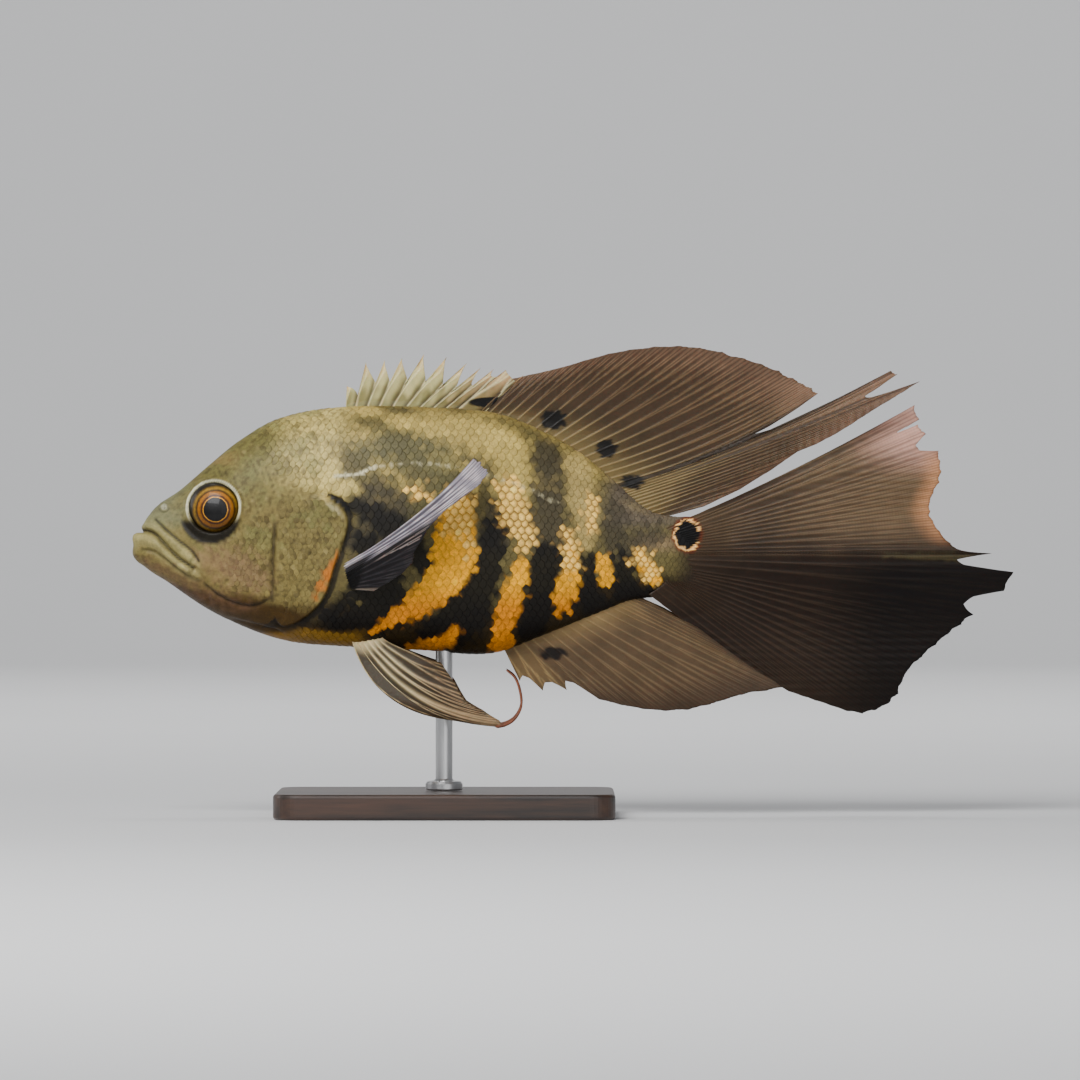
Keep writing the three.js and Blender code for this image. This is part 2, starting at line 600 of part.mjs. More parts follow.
addPiece("head", head, skin);
addPiece("lower_jaw", lowerJaw, skin);
addPiece("torso", torso, skin);
addPiece("tail_stem", tailStem, skin);
addPiece("left_gill_cover", gillCovers.left, skin);
addPiece("right_gill_cover", gillCovers.right, skin);
addPiece("left_eye", eyeball(), iris);
addPiece("right_eye", mirrored(eyeball()), iris);
addPiece("dorsal_fin_spines", dorsalSpines, web);
addPiece("dorsal_fin_soft", dorsalSoft, web);
addPiece("dorsal_fin_trail", dorsalTrail, web);
addPiece("tail_fin_upper", tailUpper, web);
addPiece("tail_fin_lower", tailLower, web);
addPiece("anal_fin", analFin, web);
addPiece("left_pelvic_fin", leftPelvic, web);
addPiece("right_pelvic_fin", mirrored(leftPelvic), web);
addPiece("left_pelvic_filament", leftFilament, web);
addPiece("right_pelvic_filament", mirrored(leftFilament), web);
addPiece("left_pectoral_fin", leftPectoral, pectoralWeb);
addPiece("right_pectoral_fin", mirrored(leftPectoral), pectoralWeb);
addPiece("stand_base", roundedPlate(BASE), wood);
addPiece("stand_rod", standRod(), steel);

// The origin is under the middle of the model's length, on the surface that it stands on.
const reach = new THREE.Box3().setFromObject(fish);
fish.position.set(-(reach.min.x + reach.max.x) / 2, 0, MOUTH_ABOVE_FLOOR);

export default group;
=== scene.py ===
import math

import bmesh
import bpy
import numpy as np
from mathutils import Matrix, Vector


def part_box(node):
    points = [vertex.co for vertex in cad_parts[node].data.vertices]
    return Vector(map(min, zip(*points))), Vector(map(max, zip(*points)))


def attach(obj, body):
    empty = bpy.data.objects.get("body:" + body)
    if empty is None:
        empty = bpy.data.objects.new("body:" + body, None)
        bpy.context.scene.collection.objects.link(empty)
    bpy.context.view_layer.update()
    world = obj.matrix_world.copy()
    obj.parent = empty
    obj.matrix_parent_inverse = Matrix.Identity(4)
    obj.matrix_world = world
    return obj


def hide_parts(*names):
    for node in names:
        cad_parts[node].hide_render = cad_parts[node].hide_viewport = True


# The oscar is laid out in its own side view, in millimetres: s runs from the lip tip back, h is the
# height above the mouth, and y is the side, with the left flank at -y.
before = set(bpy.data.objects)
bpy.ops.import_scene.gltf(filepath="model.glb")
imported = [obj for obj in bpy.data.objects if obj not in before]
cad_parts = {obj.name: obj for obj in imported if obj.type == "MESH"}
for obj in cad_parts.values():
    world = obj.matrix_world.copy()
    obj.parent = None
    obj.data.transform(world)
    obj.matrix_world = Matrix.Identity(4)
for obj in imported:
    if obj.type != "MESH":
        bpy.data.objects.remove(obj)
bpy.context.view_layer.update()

MM = 0.001
LIP_TIP_X, MOUTH_Z = -157.375, 98.0
SIDES = (("left", -1), ("right", 1))
dice = np.random.default_rng


def in_frame(point):
    """Fish millimetres (s, y, h) to metres of the shared frame."""
    return (np.asarray(point, float) + [LIP_TIP_X, 0, MOUTH_Z]) * MM


def smooth(x):
    x = np.clip(x, 0, 1)
    return x * x * (3 - 2 * x)


def fade(x, start, run):
    """0 up to start, and 1 once a run past it; a run below 0 goes down instead."""
    return smooth((x - start) / run)


def bell(x):
    return np.exp(-(x ** 2))


def through(points):
    """A smooth line through (place, value) pairs."""
    place, value = np.array(points, float).T
    n = len(place)
    before, after = np.r_[0, 0:n - 1], np.r_[1:n, n - 1]
    slope = (value[after] - value[before]) / (place[after] - place[before])

    def at(x):
        x = np.asarray(x, float)
        i = np.clip(np.searchsorted(place, x, side="right") - 1, 0, n - 2)
        step = place[i + 1] - place[i]
        t = np.clip((x - place[i]) / step, 0, 1)
        rise = value[i + 1] - value[i]
        leave, arrive = slope[i] * step - rise, rise - slope[i + 1] * step
        return value[i] + rise * t + t * (1 - t) * (leave * (1 - t) + arrive * t)

    return at


# Body outline, girth, height of the widest line, and roundness of the section, each along s
FIRST, LAST = 1.2, 206.0
BACK = through([(1.2, 0), (4, 4.6), (9, 11.5), (18, 17.9), (28, 26.5), (39, 35.4), (53, 43.2),
                (75, 47.2), (110, 47), (131, 44.8), (146, 39), (160, 31), (174, 19.5), (183, 11.6),
                (191, 9), (206, 8.2)])
BELLY = through([(1.2, 0), (3.6, -7.6), (14, -15.3), (28, -24.7), (43, -31.8), (57, -36),
                 (78, -37.8), (103, -39), (128, -40.2), (146, -34), (167, -25.6), (178, -21.3),
                 (190, -19.8), (206, -16.4)])
GIRTH = through([(1.2, 0), (3, 4), (8, 8.3), (18, 11.8), (30, 14.4), (45, 16.9), (60, 18.7),
                 (76, 19.6), (95, 19.4), (115, 18), (135, 15), (155, 11), (175, 7.4), (188, 5.2),
                 (198, 2.6), (206, 0)])
LEVEL = through([(1.2, 0), (20, -1), (40, -3), (70, -6), (100, -4), (130, -1), (160, -3),
                 (180, -4.8), (206, -5.5)])
ROUND = through([(0, 2.1), (30, 2.3), (60, 2.2), (110, 2), (170, 1.9), (206, 2)])
STEM_S, STEM_LONG, STEM_H, STEM_CURVE = 183, 23, -5.5, 0.03


def reach_from_level(s, h):
    return np.where(h > LEVEL(s), BACK(s) - LEVEL(s), LEVEL(s) - BELLY(s))


def flank(s, around):
    """The body's plain surface: around is 0 on the back, half a turn on the belly, + to the right."""
    level, power = LEVEL(s), 2 / ROUND(s)
    across, up = np.sin(around), np.cos(around)
    reach = np.where(up > 0, BACK(s) - level, level - BELLY(s))
    y = np.sign(across) * np.abs(across) ** power * GIRTH(s)
    h = level + np.sign(up) * np.abs(up) ** power * reach
    drawn_in = smooth((s - STEM_S) / STEM_LONG) * STEM_CURVE * (h - STEM_H) ** 2
    return np.stack([s - drawn_in, y, h], -1)


def flank_facing(s, around):
    """The outward direction of the plain surface."""
    front, rear = (flank(np.clip(s + step, FIRST, LAST), around) for step in (-0.3, 0.3))
    ahead = rear - front
    out = np.cross(flank(s, around + 0.02) - flank(s, around - 0.02), ahead)
    size = np.linalg.norm(out, axis=-1, keepdims=True)
    plain = np.stack([np.zeros_like(s), np.sin(around), np.cos(around)], -1)
    out = np.where(size > 1e-6, out / np.maximum(size, 1e-9), plain)
    return out * np.sign(np.sum(out * plain, -1, keepdims=True) + 1e-9)


# Lines of the head, as (s, h)
def drawn(stops, count=22):
    """A smooth line of count points through stops of any number of measures."""
    t = np.linspace(0, len(stops) - 1, count)
    return np.stack([through(list(enumerate(values)))(t) for values in zip(*stops)], -1)


def near(line, s, h):
    """Distance to a line, which side of it (+ is left of the way it runs), and how far along it."""
    best = np.full(s.shape, 1e9)
    side, along = np.zeros(s.shape), np.zeros(s.shape)
    for i in range(len(line) - 1):
        a, b = line[i, :2], line[i + 1, :2]
        d = b - a
        t = np.clip(((s - a[0]) * d[0] + (h - a[1]) * d[1]) / (d @ d), 0, 1)
        ds, dh = s - a[0] - t * d[0], h - a[1] - t * d[1]
        gap = np.hypot(ds, dh)
        closer = gap < best
        best = np.where(closer, gap, best)
        side = np.where(closer, np.sign(d[0] * dh - d[1] * ds), side)
        along = np.where(closer, (i + t) / (len(line) - 1), along)
    return best, side, along


MOUTH = drawn([(-3, 3.6), (3.9, 3.5), (7.1, 3.2), (9.9, 1.6), (12.4, -1.1), (14.9, -3.7),
               (17.8, -6.5), (23.1, -10)])
UPPER_LIP = drawn([(5.4, 5.4), (8, 5), (11, 3.6), (14.8, 0.4), (18.8, -3.4), (23, -7.4)])
LOWER_LIP = drawn([(0.5, 0.6), (5.6, 0.4), (9.8, -1.2), (13.6, -5), (17.6, -8.4), (22.6, -11.6)])
MAXILLA = drawn([(9.6, 7.2), (14.2, 2.9), (18.5, -0.7), (22.4, -3.7), (25, -7.4)])
LOWER_FOLD = drawn([(4.8, -3.1), (9, -4.2), (12.8, -6.6), (17.6, -10.4), (22.6, -13.6),
                    (25.4, -14.4)])
JAW_CORNER = drawn([(23, -9.8), (25.8, -12.6), (27.6, -17), (28.4, -23)])
CHEEK_REAR = drawn([(52, 5.6), (51.4, -4), (51.2, -12), (51, -20.6)])
CHEEK_LOWER = drawn([(26.8, -15.2), (31.9, -19.4), (39, -22.6), (45.4, -22.9), (50.4, -20.4)])
COVER_REAR = drawn([(63, 15.4), (70, 14.9), (75.2, 12), (77.6, 7.8), (77.4, 2.8), (75.4, -2.8),
                    (73, -9.5), (70.5, -17.8), (66.7, -23.8), (60.3, -28.8), (54.4, -30.4),
                    (51.6, -27)], 40)
GILL_RAYS = [drawn([(34 + 3 * k, -27.5 - 1.2 * k), (44 + 2 * k, -30 - 0.8 * k),
                    (54 + k, -32.6 - 0.5 * k)]) for k in range(3)]
LATERAL_LINE = drawn([(72, 22.4), (81, 23.2), (87, 25.6), (97.6, 27), (112, 26.4), (125, 23.6),
                      (140, 18.6), (152, 13)], 30)
NOSTRIL = (12.4, 11.8)
CHIN, CHIN_SIZE = (3.4, -4.6), (2.8, 3.2)
EYE_S, EYE_H, EYE_Y, EYE_WIDE, EYE_DEEP = 30.2, 11.5, 10.8, 9.1, 5.0
EYE_FACES = Vector((-0.2, -1, 0.18)).normalized()
SOCKET, EYE_RING, SOCKET_RIM, SOCKET_FOLD = 9.0, 9.45, 9.7, 11.6
IRIS, PUPIL = 8.7, (0.75, -0.7)
OCELLUS = (197.7, 1.8)

# Grooves (+) and ridges (-) of the head: line, half width, depth, and the faded share of each end
GROOVES = [(MOUTH, 0.75, 1.7, 0), (UPPER_LIP, 1.9, -0.95, 0.05), (LOWER_LIP, 1.9, -1.05, 0.05),
           (MAXILLA, 0.7, 0.85, 0.12), (LOWER_FOLD, 0.8, 0.8, 0.12), (JAW_CORNER, 0.9, 0.5, 0.12),
           (CHEEK_REAR, 0.8, 0.8, 0.12), (CHEEK_LOWER, 0.9, 0.7, 0.12),
           *((line, 0.7, 0.35, 0.12) for line in GILL_RAYS)]


def far(s, h, middle):
    return np.hypot(s - middle[0], h - middle[1])


def cover(s, h):
    """Distance outside the gill cover's free edge (minus inside it), and how far along that edge."""
    gap, side, along = near(COVER_REAR, s, h)
    within = (side < 0) | ((along > 0.985) & (s < 57))
    return np.where(within, -gap, gap), along


def ends_fade(along, first, last):
    return smooth(along / first) * smooth((1 - along) / last)


def relief(s, h):
    """How far the living skin stands out from the plain surface, in millimetres."""
    out = np.zeros(s.shape)
    for line, wide, deep, ends in GROOVES:
        gap, _, along = near(line, s, h)
        out -= deep * bell(gap / wide) * (ends_fade(along, ends, ends) if ends else 1)
    gap, side, along = near(CHEEK_LOWER, s, h)
    out += np.where(side > 0, 0.55 * np.exp(-gap / 3.5), 0) * ends_fade(along, 0.15, 0.1)
    past, along = cover(s, h)
    lip = 1.1 * np.exp(past / 6) * smooth(-past / 0.4)
    drop = 1.2 * np.exp(-past / 1.2) * smooth(past / 0.2)
    out += ends_fade(along, 0.12, 0.12) * np.where(past < 0, lip, -drop)
    out += 1.7 * bell((s - CHIN[0]) / CHIN_SIZE[0]) * bell((h - CHIN[1]) / CHIN_SIZE[1])
    r = far(s, h, NOSTRIL)
    out += 0.75 * bell((r - 0.9) / 0.7) - 1.1 * bell(r / 0.6)
    r = far(s, h, (EYE_S, EYE_H))
    out += 0.75 * bell((r - SOCKET_RIM) / 0.9)
    out -= 0.45 * bell((r - SOCKET_FOLD) / 1.1) * smooth((EYE_H - h) / 9)
    return out - 7 * smooth((SOCKET - r) / 1.3)


# Paints
def paint(colour):
    """An 8-bit colour as linear light. An array is linear already."""
    if not isinstance(colour, tuple):
        return colour
    c = np.array(colour) / 255
    return np.where(c <= 0.04045, c / 12.92, ((c + 0.055) / 1.055) ** 2.4)


def layered(ground, *layers):
    """The ground with each (colour, share) laid over it in turn."""
    ground = paint(ground)
    for colour, share in layers:
        ground = ground + (paint(colour) - ground) * np.clip(share, 0, 1)[..., None]
    return ground


def toned(colour, tone):
    return colour * tone[..., None]


def mottle(s, h, size, seed):
    """A smooth, uneven field from about -1 to 1, whose patches are about size across."""
    draw = dice(seed)
    total = np.zeros(np.shape(s))
    for _ in range(9):
        turn, start = draw.uniform(0, 2 * np.pi), draw.uniform(0, 2 * np.pi)
        pitch = size * draw.uniform(1.1, 2.6)
        total += np.sin((s * np.cos(turn) + h * np.sin(turn)) * 2 * np.pi / pitch + start)
    return total / 3.4


def blotch(stops, s, h, soft=1.2, ragged=1.0, seed=1):
    """1 inside a blotch drawn as stops of (s, h, half width), 0 outside it."""
    line = drawn(stops, 5 * len(stops))
    gap, _, along = near(line, s, h)
    width = np.interp(along, np.linspace(0, 1, len(line)), line[:, 2])
    return smooth(0.5 + (width - gap + ragged * mottle(s, h, 2.4, seed)) / (2 * soft))


def spot(s, h, at, size, soft, ragged, seed):
    """1 inside an uneven oval at a place, 0 outside it."""
    r = np.hypot((s - at[0]) / size[0], (h - at[1]) / size[1]) * min(size)
    return smooth(0.5 + (min(size) - r + ragged * mottle(s, h, 1.5, seed)) / (2 * soft))


def stroke(line, s, h, wide):
    return bell(near(line, s, h)[0] / wide)


# The belly's dark ochre is painted shade: the light falling off towards the belly
TAN_BACK, OLIVE_FLANK, SHADED_BELLY = (172, 148, 78), (92, 82, 46), (36, 26, 8)
CHEEK_TAN, BROW_TAN, NAPE_CREAM = (116, 102, 56), (104, 97, 50), (204, 180, 104)
THROAT_OCHRE, LIP_GREY, HAZE = (58, 40, 8), (160, 150, 96), (84, 74, 66)
ORANGE, DEEP_ORANGE, DULL_ORANGE = (240, 164, 6), (212, 128, 0), (150, 106, 30)
DOT_CREAM, DOT_GROUND, FIN_ROOT = (250, 200, 100), (158, 108, 36), (42, 32, 23)
SOOT, BAR_GREY, STEM_TAN = (12, 9, 6), (54, 48, 36), (128, 106, 76)
PALE_BAR, RING_CREAM, INK = (158, 136, 80), (246, 190, 116), (8, 7, 6)

# Markings of the flank, each drawn as (s, h, half width)
ORANGE_MARKS = [
    [(116.4, 9.5, 5.4), (115.4, 0, 7.2), (114.6, -7, 8), (111, -13.6, 6.6), (104.6, -20.6, 5.2),
     (98, -25.4, 3.6), (91.4, -29, 2), (86, -32.4, 0.8)],
    [(138.4, -9.2, 2.8), (136.4, -17, 3.8), (133.8, -24.8, 3.9), (132, -32, 3.5), (131.6, -38, 4.2)],
    [(157, -3, 1.2), (155.6, -8.8, 2.3), (155.4, -14.2, 3.6), (154, -20, 4), (153.4, -23.6, 3)],
    [(167.6, -7.2, 2.2), (168.6, -14, 2.6)],
    [(181, -5.4, 1.6), (183.8, -10.6, 2.4), (185.3, -14.2, 1.8)],
    [(115.4, -32.6, 2.2), (110, -36.4, 2.4), (99, -38.2, 1.4)],
]
DULL_MARK = 5
DOTTED_MARKS = [
    [(134, 17.8, 4.4), (135.6, 9, 5.4), (139.6, 1.8, 3.8), (139.2, -2.8, 2)],
    [(116.4, 12.6, 5.6), (115.8, 7, 6)],
    [(163.4, 14, 2), (163, 5, 1.8)],
    [(100.6, 17, 2.2), (105.4, 15, 1.4)],
    [(154.8, 2, 2), (156.4, -9, 3.2)],
    [(120.6, -1, 1.6), (119, -5, 1)],
    [(177.6, -8, 0.8), (181, -5, 2), (184.6, -12, 2.6)],
]
DARK_MARKS = [
    [(84, -2, 5), (88, -10, 8), (88, -18, 10), (91, -23, 7), (83, -29.4, 7), (74, -31, 5)],
    [(77, -21, 2.4), (70, -27.6, 2.4)],
    [(80, 12, 3), (88, 8, 4.6), (97, 1, 6), (104, -8, 4)],
    [(128.8, 3.6, 4.6), (127.8, -5.4, 5), (125, -14.2, 6), (119.8, -22, 8.4), (115.2, -29, 9),
     (104.6, -33.4, 2.8)],
    [(147.4, -7, 6), (147.4, -14.2, 6.4), (143.8, -24.8, 5.4), (142, -33.6, 5)],
    [(162.6, -7, 3), (162.6, -21.2, 5), (166.8, -24.8, 5)],
    [(175, -7, 3.6), (175.6, -17.8, 5), (181, -20.2, 3.4), (188, -20.6, 2.4)],
]
GREY_MARKS = [
    [(147.4, 32, 5), (148.4, 14.2, 6), (148.4, 0, 6)],
    [(87, 14.2, 6.4), (94, 8.9, 6), (78, 0, 4)],
    [(172, 10, 4), (173, -2, 5), (186, 2, 3)],
    [(129, 12, 2.6), (129, 0, 4)],
]
WARM_BAND = [(96, 42, 2.5), (112, 40, 4.5), (124, 37, 6.5), (133, 32, 7), (136, 25, 6), (136, 17, 5)]
OLIVE_SHOULDER = [(82, 32, 4), (94, 33, 8), (106, 31, 8), (112, 20, 5), (100, 8, 4)]
REAR_BAR = [(158, 27, 5), (160, 18, 5), (161, 8, 4.4), (161.5, 0, 3)]

# Markings of the head, with painted shade in its grooves and gill slit
PINK_CHEEK = [(26, -6, 3), (38, -10, 6), (46, -14, 4)]
BROWN_JAW = [(6, -8, 2), (16, -13, 2.6), (30, -20, 2.6), (42, -24, 1.4)]
ORANGE_CRESCENT = [(73.6, -6, 0.7), (71.2, -10.4, 1.5), (69, -15, 1.6), (66.4, -20, 0.9)]
SHOULDER_CREAM = [(72, 26, 3), (70, 20, 4), (74, 17, 3.5), (79, 19, 2)]
# The top of the gill slit is painted black: painted shadow in the slit
SLIT_TOP_SHADOW = [(70.4, 16, 0.5), (73.6, 14.9, 1.5), (77, 12.4, 1.3), (79, 9.6, 0.4)]
SLIT_EDGE = [(70, 12.6, 0.5), (73, 11, 0.8), (75.6, 8.6, 0.5)]
# Painted shade in the head's grooves, as (line, share, half width): along the mouth, the maxilla, the
# lower fold and the cheek's lower edge
CREASE_SHADE = [(MOUTH, 0.95, 0.5), (MAXILLA, 0.95, 0.55), (LOWER_FOLD, 0.5, 0.6),
           (CHEEK_LOWER, 0.6, 0.5)]
HEAD_END = through([(-42, 55), (-31, 56.6), (15, 66), (30, 73.8), (50, 78)])


def eye_spot(s, h, ground):
    """The false eye at the root of the tail: a pale ring round an uneven black patch."""
    r = np.hypot((s - OCELLUS[0]) / 0.86, h - OCELLUS[1])
    r = r + 0.3 * mottle(s, h, 2.2, 41) + 0.3 * mottle(s, h, 0.9, 42)
    return layered(ground, ((92, 34, 8), 0.85 * fade(r, 7.0, -1.1)),
                   (RING_CREAM, fade(r, 5.75, -0.3)), (INK, fade(r, 5.05, -0.3)))


def body_markings_and_shade(s, h, broad, fine):
    height = (h - LEVEL(s)) / (reach_from_level(s, h) + 1e-6)
    tan_patches = smooth(0.1 + 0.8 * broad + 0.5 * fine) * fade(h, 4, 14)
    return layered(
        OLIVE_FLANK,
        (TAN_BACK, smooth((height - 0.78 + 0.1 * broad) / 0.3)),
        (TAN_BACK, 0.55 * tan_patches),
        ((84, 79, 46), 0.75 * blotch(OLIVE_SHOULDER, s, h, 5, 2, 22)),
        (TAN_BACK, 0.95 * blotch(WARM_BAND, s, h, 3.4, 1.6, 19)),
        (BAR_GREY, 0.55 * fade(height, 0.86, 0.16) * fade(s, 80, 20)),
        (PALE_BAR, 0.85 * blotch(REAR_BAR, s, h, 2.4, 1, 21)),
        (HAZE, 0.8 * fade(s, 164, 10) * fade(h, 2, 6)),
        (STEM_TAN, 0.8 * fade(s, 176, 8) * smooth((5 - np.abs(h + 1)) / 5)),
        *((BAR_GREY, 0.8 * blotch(mark, s, h, 2.4, 1.6, 30 + i)) for i, mark in enumerate(GREY_MARKS)),
        # Painted shade: the lower flank darker where the light falls off downward
        (SHADED_BELLY, smooth((-height - 0.32 + 0.1 * broad) / 0.4)),
        *((SOOT, 0.94 * blotch(mark, s, h, 1.5, 1.4, 50 + i)) for i, mark in enumerate(DARK_MARKS)),
        (FIN_ROOT, 0.9 * fade(s, 190, 10) * smooth((s - 186 - 0.4 * (h + 12)) / 6)))


def head_markings_and_shade(s, h, broad, fine, drift, lap):
    olive = smooth(0.25 + 0.6 * broad + 0.35 * fine) * fade(h, -12, 16)
    veins = smooth(0.15 + 0.7 * (mottle(drift, lap, 1.5, 15) + 0.6 * mottle(drift, lap, 3.4, 16)))
    pale = smooth(0.5 * mottle(drift, lap, 2.1, 18) - 0.1) * fade(s, 26, 10)
    under = smooth((-h - 10.5 - 0.17 * s + 1.4 * broad) / 5)
    brow = smooth(0.3 + broad) * fade(h, 18, 8) * fade(s, 44, -12)
    eye_ring = smooth((0.62 - np.abs(far(s, h, (EYE_S, EYE_H)) - EYE_RING)) / 0.4)
    eye_shadow = smooth((11.4 - far(s, h, (EYE_S - 1.3, EYE_H - 2.2))) / 1.2)
    nostril = far(s, h, NOSTRIL)
    nostril_pit_shade = smooth((0.6 - far(s, h, (NOSTRIL[0] + 0.3, NOSTRIL[1] - 0.4))) / 0.5)
    shade_under_nostril = smooth((0.5 - np.abs(nostril - 1.9)) / 0.5) * smooth(NOSTRIL[1] - h)
    return layered(
        CHEEK_TAN,
        (BROW_TAN, fade(h, 10, 14)),
        (NAPE_CREAM, 0.8 * smooth((s - 44 + 3 * broad) / 20) * fade(h, 12, 12)),
        ((92, 92, 50), 0.6 * olive),
        (LIP_GREY, 0.75 * stroke(UPPER_LIP, s, h, 2.6)),
        (LIP_GREY, 0.7 * stroke(LOWER_LIP, s, h, 2.4)),
        ((66, 54, 26), 0.62 * veins * smooth((near(MOUTH, s, h)[0] - 4.5) / 5)),
        ((158, 142, 92), 0.4 * pale),
        (THROAT_OCHRE, under),
        ((48, 34, 10), 0.7 * under * fade(s, 22, -8)),
        ((108, 112, 84), 0.6 * smooth((24 - s + 2 * broad) / 12) * fade(h, 1, 8)),
        ((132, 98, 76), 0.42 * blotch(PINK_CHEEK, s, h, 4, 2, 66)),
        ((96, 68, 48), 0.6 * blotch(BROWN_JAW, s, h, 3.4, 1.6, 63)),
        ((140, 98, 56), 0.26 * brow),
        ((190, 102, 18), 0.68 * blotch(ORANGE_CRESCENT, s, h, 1, 0.8, 61)),
        # Painted shade along the grooves: the cheek's rear edge, then the creases
        ((46, 36, 22), 0.75 * stroke(CHEEK_REAR, s, h, 0.9)),
        *(((24, 18, 10), share * stroke(line, s, h, wide)) for line, share, wide in CREASE_SHADE),
        ((218, 214, 180), 0.8 * eye_ring * smooth((h - EYE_H + 7) / 8)),
        ((14, 11, 8), 0.96 * eye_shadow * smooth((EYE_H - 3 - h) / 3)),
        # The nostril's bump: a pale spot, partly its pale skin and partly a painted highlight, then
        # painted shade in its pit and in an arc under it
        ((186, 184, 156), 0.7 * fade(nostril, 1.3, -0.6)),
        ((30, 24, 16), 0.8 * nostril_pit_shade + 0.6 * shade_under_nostril))


def gill_edge_markings_and_shade(colour, s, h, past, broad):
    """The gill slit's painted shadow, the black painted shadow at its top, the pale skin beside its
    top, and the yellow of the throat.
    """
    shadow = smooth((1.5 - np.abs(past - 1.1)) / 0.8) * fade(h, 16, -3) * fade(h, -31, 3)
    yellow = smooth((-h - 31 + 0.02 * (s - 60) + 1.2 * broad) / 3)
    return layered(
        colour,
        (NAPE_CREAM, 0.75 * blotch(SHOULDER_CREAM, s, h, 1.4, 1, 62)),
        ((14, 10, 8), 0.85 * shadow),
        ((190, 178, 134), 0.5 * blotch(SLIT_EDGE, s, h, 0.7, 0.3, 65)),
        # Painted shadow: the black top of the gill slit
        ((6, 5, 4), 0.96 * blotch(SLIT_TOP_SHADOW, s, h, 0.35, 0.1, 64)),
        ((132, 96, 24), 0.8 * yellow * fade(s, 86, -8) * fade(s, 40, 14)))


def orange_markings(colour, s, h, dot):
    for i, mark in enumerate(ORANGE_MARKS):
        glow = DULL_ORANGE if i == DULL_MARK else ORANGE
        glow = layered(glow, (DEEP_ORANGE, smooth((-h - 14) / 12)))
        glow = toned(glow, (1 + 0.16 * mottle(s, h, 0.8, 75)) * (1 - 0.14 * (1 - dot)))
        colour = layered(colour, (glow, 0.95 * blotch(mark, s, h, 0.9, 1.1, 70 + i)))
    for i, mark in enumerate(DOTTED_MARKS):
        inside = blotch(mark, s, h, 1.6, 1.8, 80 + i)
        colour = layered(colour, (DOT_GROUND, 0.62 * inside),
                         (DOT_CREAM, 0.9 * inside * smooth(dot * 2 - 0.7)))
    return colour


def hide(s, y, h, dot=0.35):
    """The fish's markings, with painted shade. dot is 1 at the middle of a scale and 0 at its rim."""
    # The mottling wraps over the back and the belly, and isn't mirrored from flank to flank
    lap = h + np.sign(h - LEVEL(s)) * 0.9 * np.maximum(GIRTH(s) - np.abs(y), 0)
    drift = s + 7 * fade(y, -8, 16)
    broad, fine = mottle(drift, lap, 9, 11), mottle(drift, lap, 2.6, 12)
    past, _ = cover(s, h)
    behind = np.where((h > -31) & (h < 15.2), smooth(0.5 + past), smooth((s - HEAD_END(h) + 5) / 10))
    colour = head_markings_and_shade(s, h, broad, fine, drift, lap)
    colour = layered(colour, (body_markings_and_shade(s, h, broad, fine), behind))
    colour = gill_edge_markings_and_shade(colour, s, h, past, broad)
    colour = orange_markings(colour, s, h, dot)
    return np.clip(toned(colour, 1 + 0.1 * fine + 0.08 * broad), 0.002, 1)


def side_line(s, h, colour):
    """The pale, broken line of pores along the upper flank."""
    gap, _, along = near(LATERAL_LINE, s, h)
    pores = 0.4 * smooth(0.4 + 1.5 * np.sin(s * 2 * np.pi / 3.3))
    strength = np.maximum(fade(along, 0.34, -0.08), pores) * smooth(along / 0.02)
    strength = strength * smooth((0.75 - gap + 0.3 * mottle(s, h, 2, 44)) / 0.5)
    return layered(colour, ((214, 204, 164), 0.9 * strength))


# Mesh helpers
def finished(bm, name):
    mesh = bpy.data.meshes.new(name)
    bm.to_mesh(mesh)
    bm.free()
    return mesh


def placed(mesh):
    """The mesh's corners in its own units, one row each."""
    flat = np.empty(len(mesh.vertices) * 3, np.float32)
    mesh.vertices.foreach_get("co", flat)
    return flat.reshape(-1, 3).astype(float)


def corners(mesh):
    """The mesh's corners in fish millimetres (s, y, h)."""
    return placed(mesh) / MM - np.array([LIP_TIP_X, 0, MOUTH_Z])


def draped(name, across, along, place):
    """A sheet of squares whose corners are set by place(u, v); u and v run from 0 to 1."""
    bm = bmesh.new()
    bmesh.ops.create_grid(bm, x_segments=across, y_segments=along, size=0.5)
    mesh = finished(bm, name)
    uv = placed(mesh)[:, :2] + 0.5
    u, v = np.rint(uv[:, 0] * across) / across, np.rint(uv[:, 1] * along) / along
    mesh.vertices.foreach_set("co", place(u, v).astype(np.float32).ravel())
    mesh.update()
    return mesh, u, v


def sewn(mesh):
    """Joins the edges that meet and turns the faces outwards."""
    bm = bmesh.new()
    bm.from_mesh(mesh)
    bmesh.ops.remove_doubles(bm, verts=bm.verts, dist=2e-6)
    bmesh.ops.recalc_face_normals(bm, faces=bm.faces)
    bm.to_mesh(mesh)
    bm.free()


def coloured(mesh, colour):
    layer = mesh.attributes.new("colour_with_painted_shade", "FLOAT_COLOR", "POINT")
    colour = np.c_[np.clip(colour, 0.002, 1), np.ones(len(colour))]
    layer.data.foreach_set("color", colour.astype(np.float32).ravel())


def measured(mesh, **values):
    for name, value in values.items():
        layer = mesh.attributes.new(name, "FLOAT", "POINT")
        layer.data.foreach_set("value", np.asarray(value, np.float32))


def piece(name, mesh, material, replaces=(), flat=False):
    """Puts a finished mesh in the scene, on the model's one body."""
    obj = bpy.data.objects.new(name, mesh)
    bpy.context.collection.objects.link(obj)
    mesh.materials.clear()
    mesh.materials.append(material)
    mesh.polygons.foreach_set("use_smooth", [not flat] * len(mesh.polygons))
    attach(obj, "root")
    if replaces:
        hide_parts(*replaces)
    return obj


# Materials
def new_material(name):
    """A material with its node tree, its shader and the object coordinates."""
    material = bpy.data.materials.new(name)
    material.use_nodes = True
    tree = material.node_tree
    place = tree.nodes.new("ShaderNodeTexCoord").outputs["Object"]
    return material, tree, tree.nodes["Principled BSDF"], place


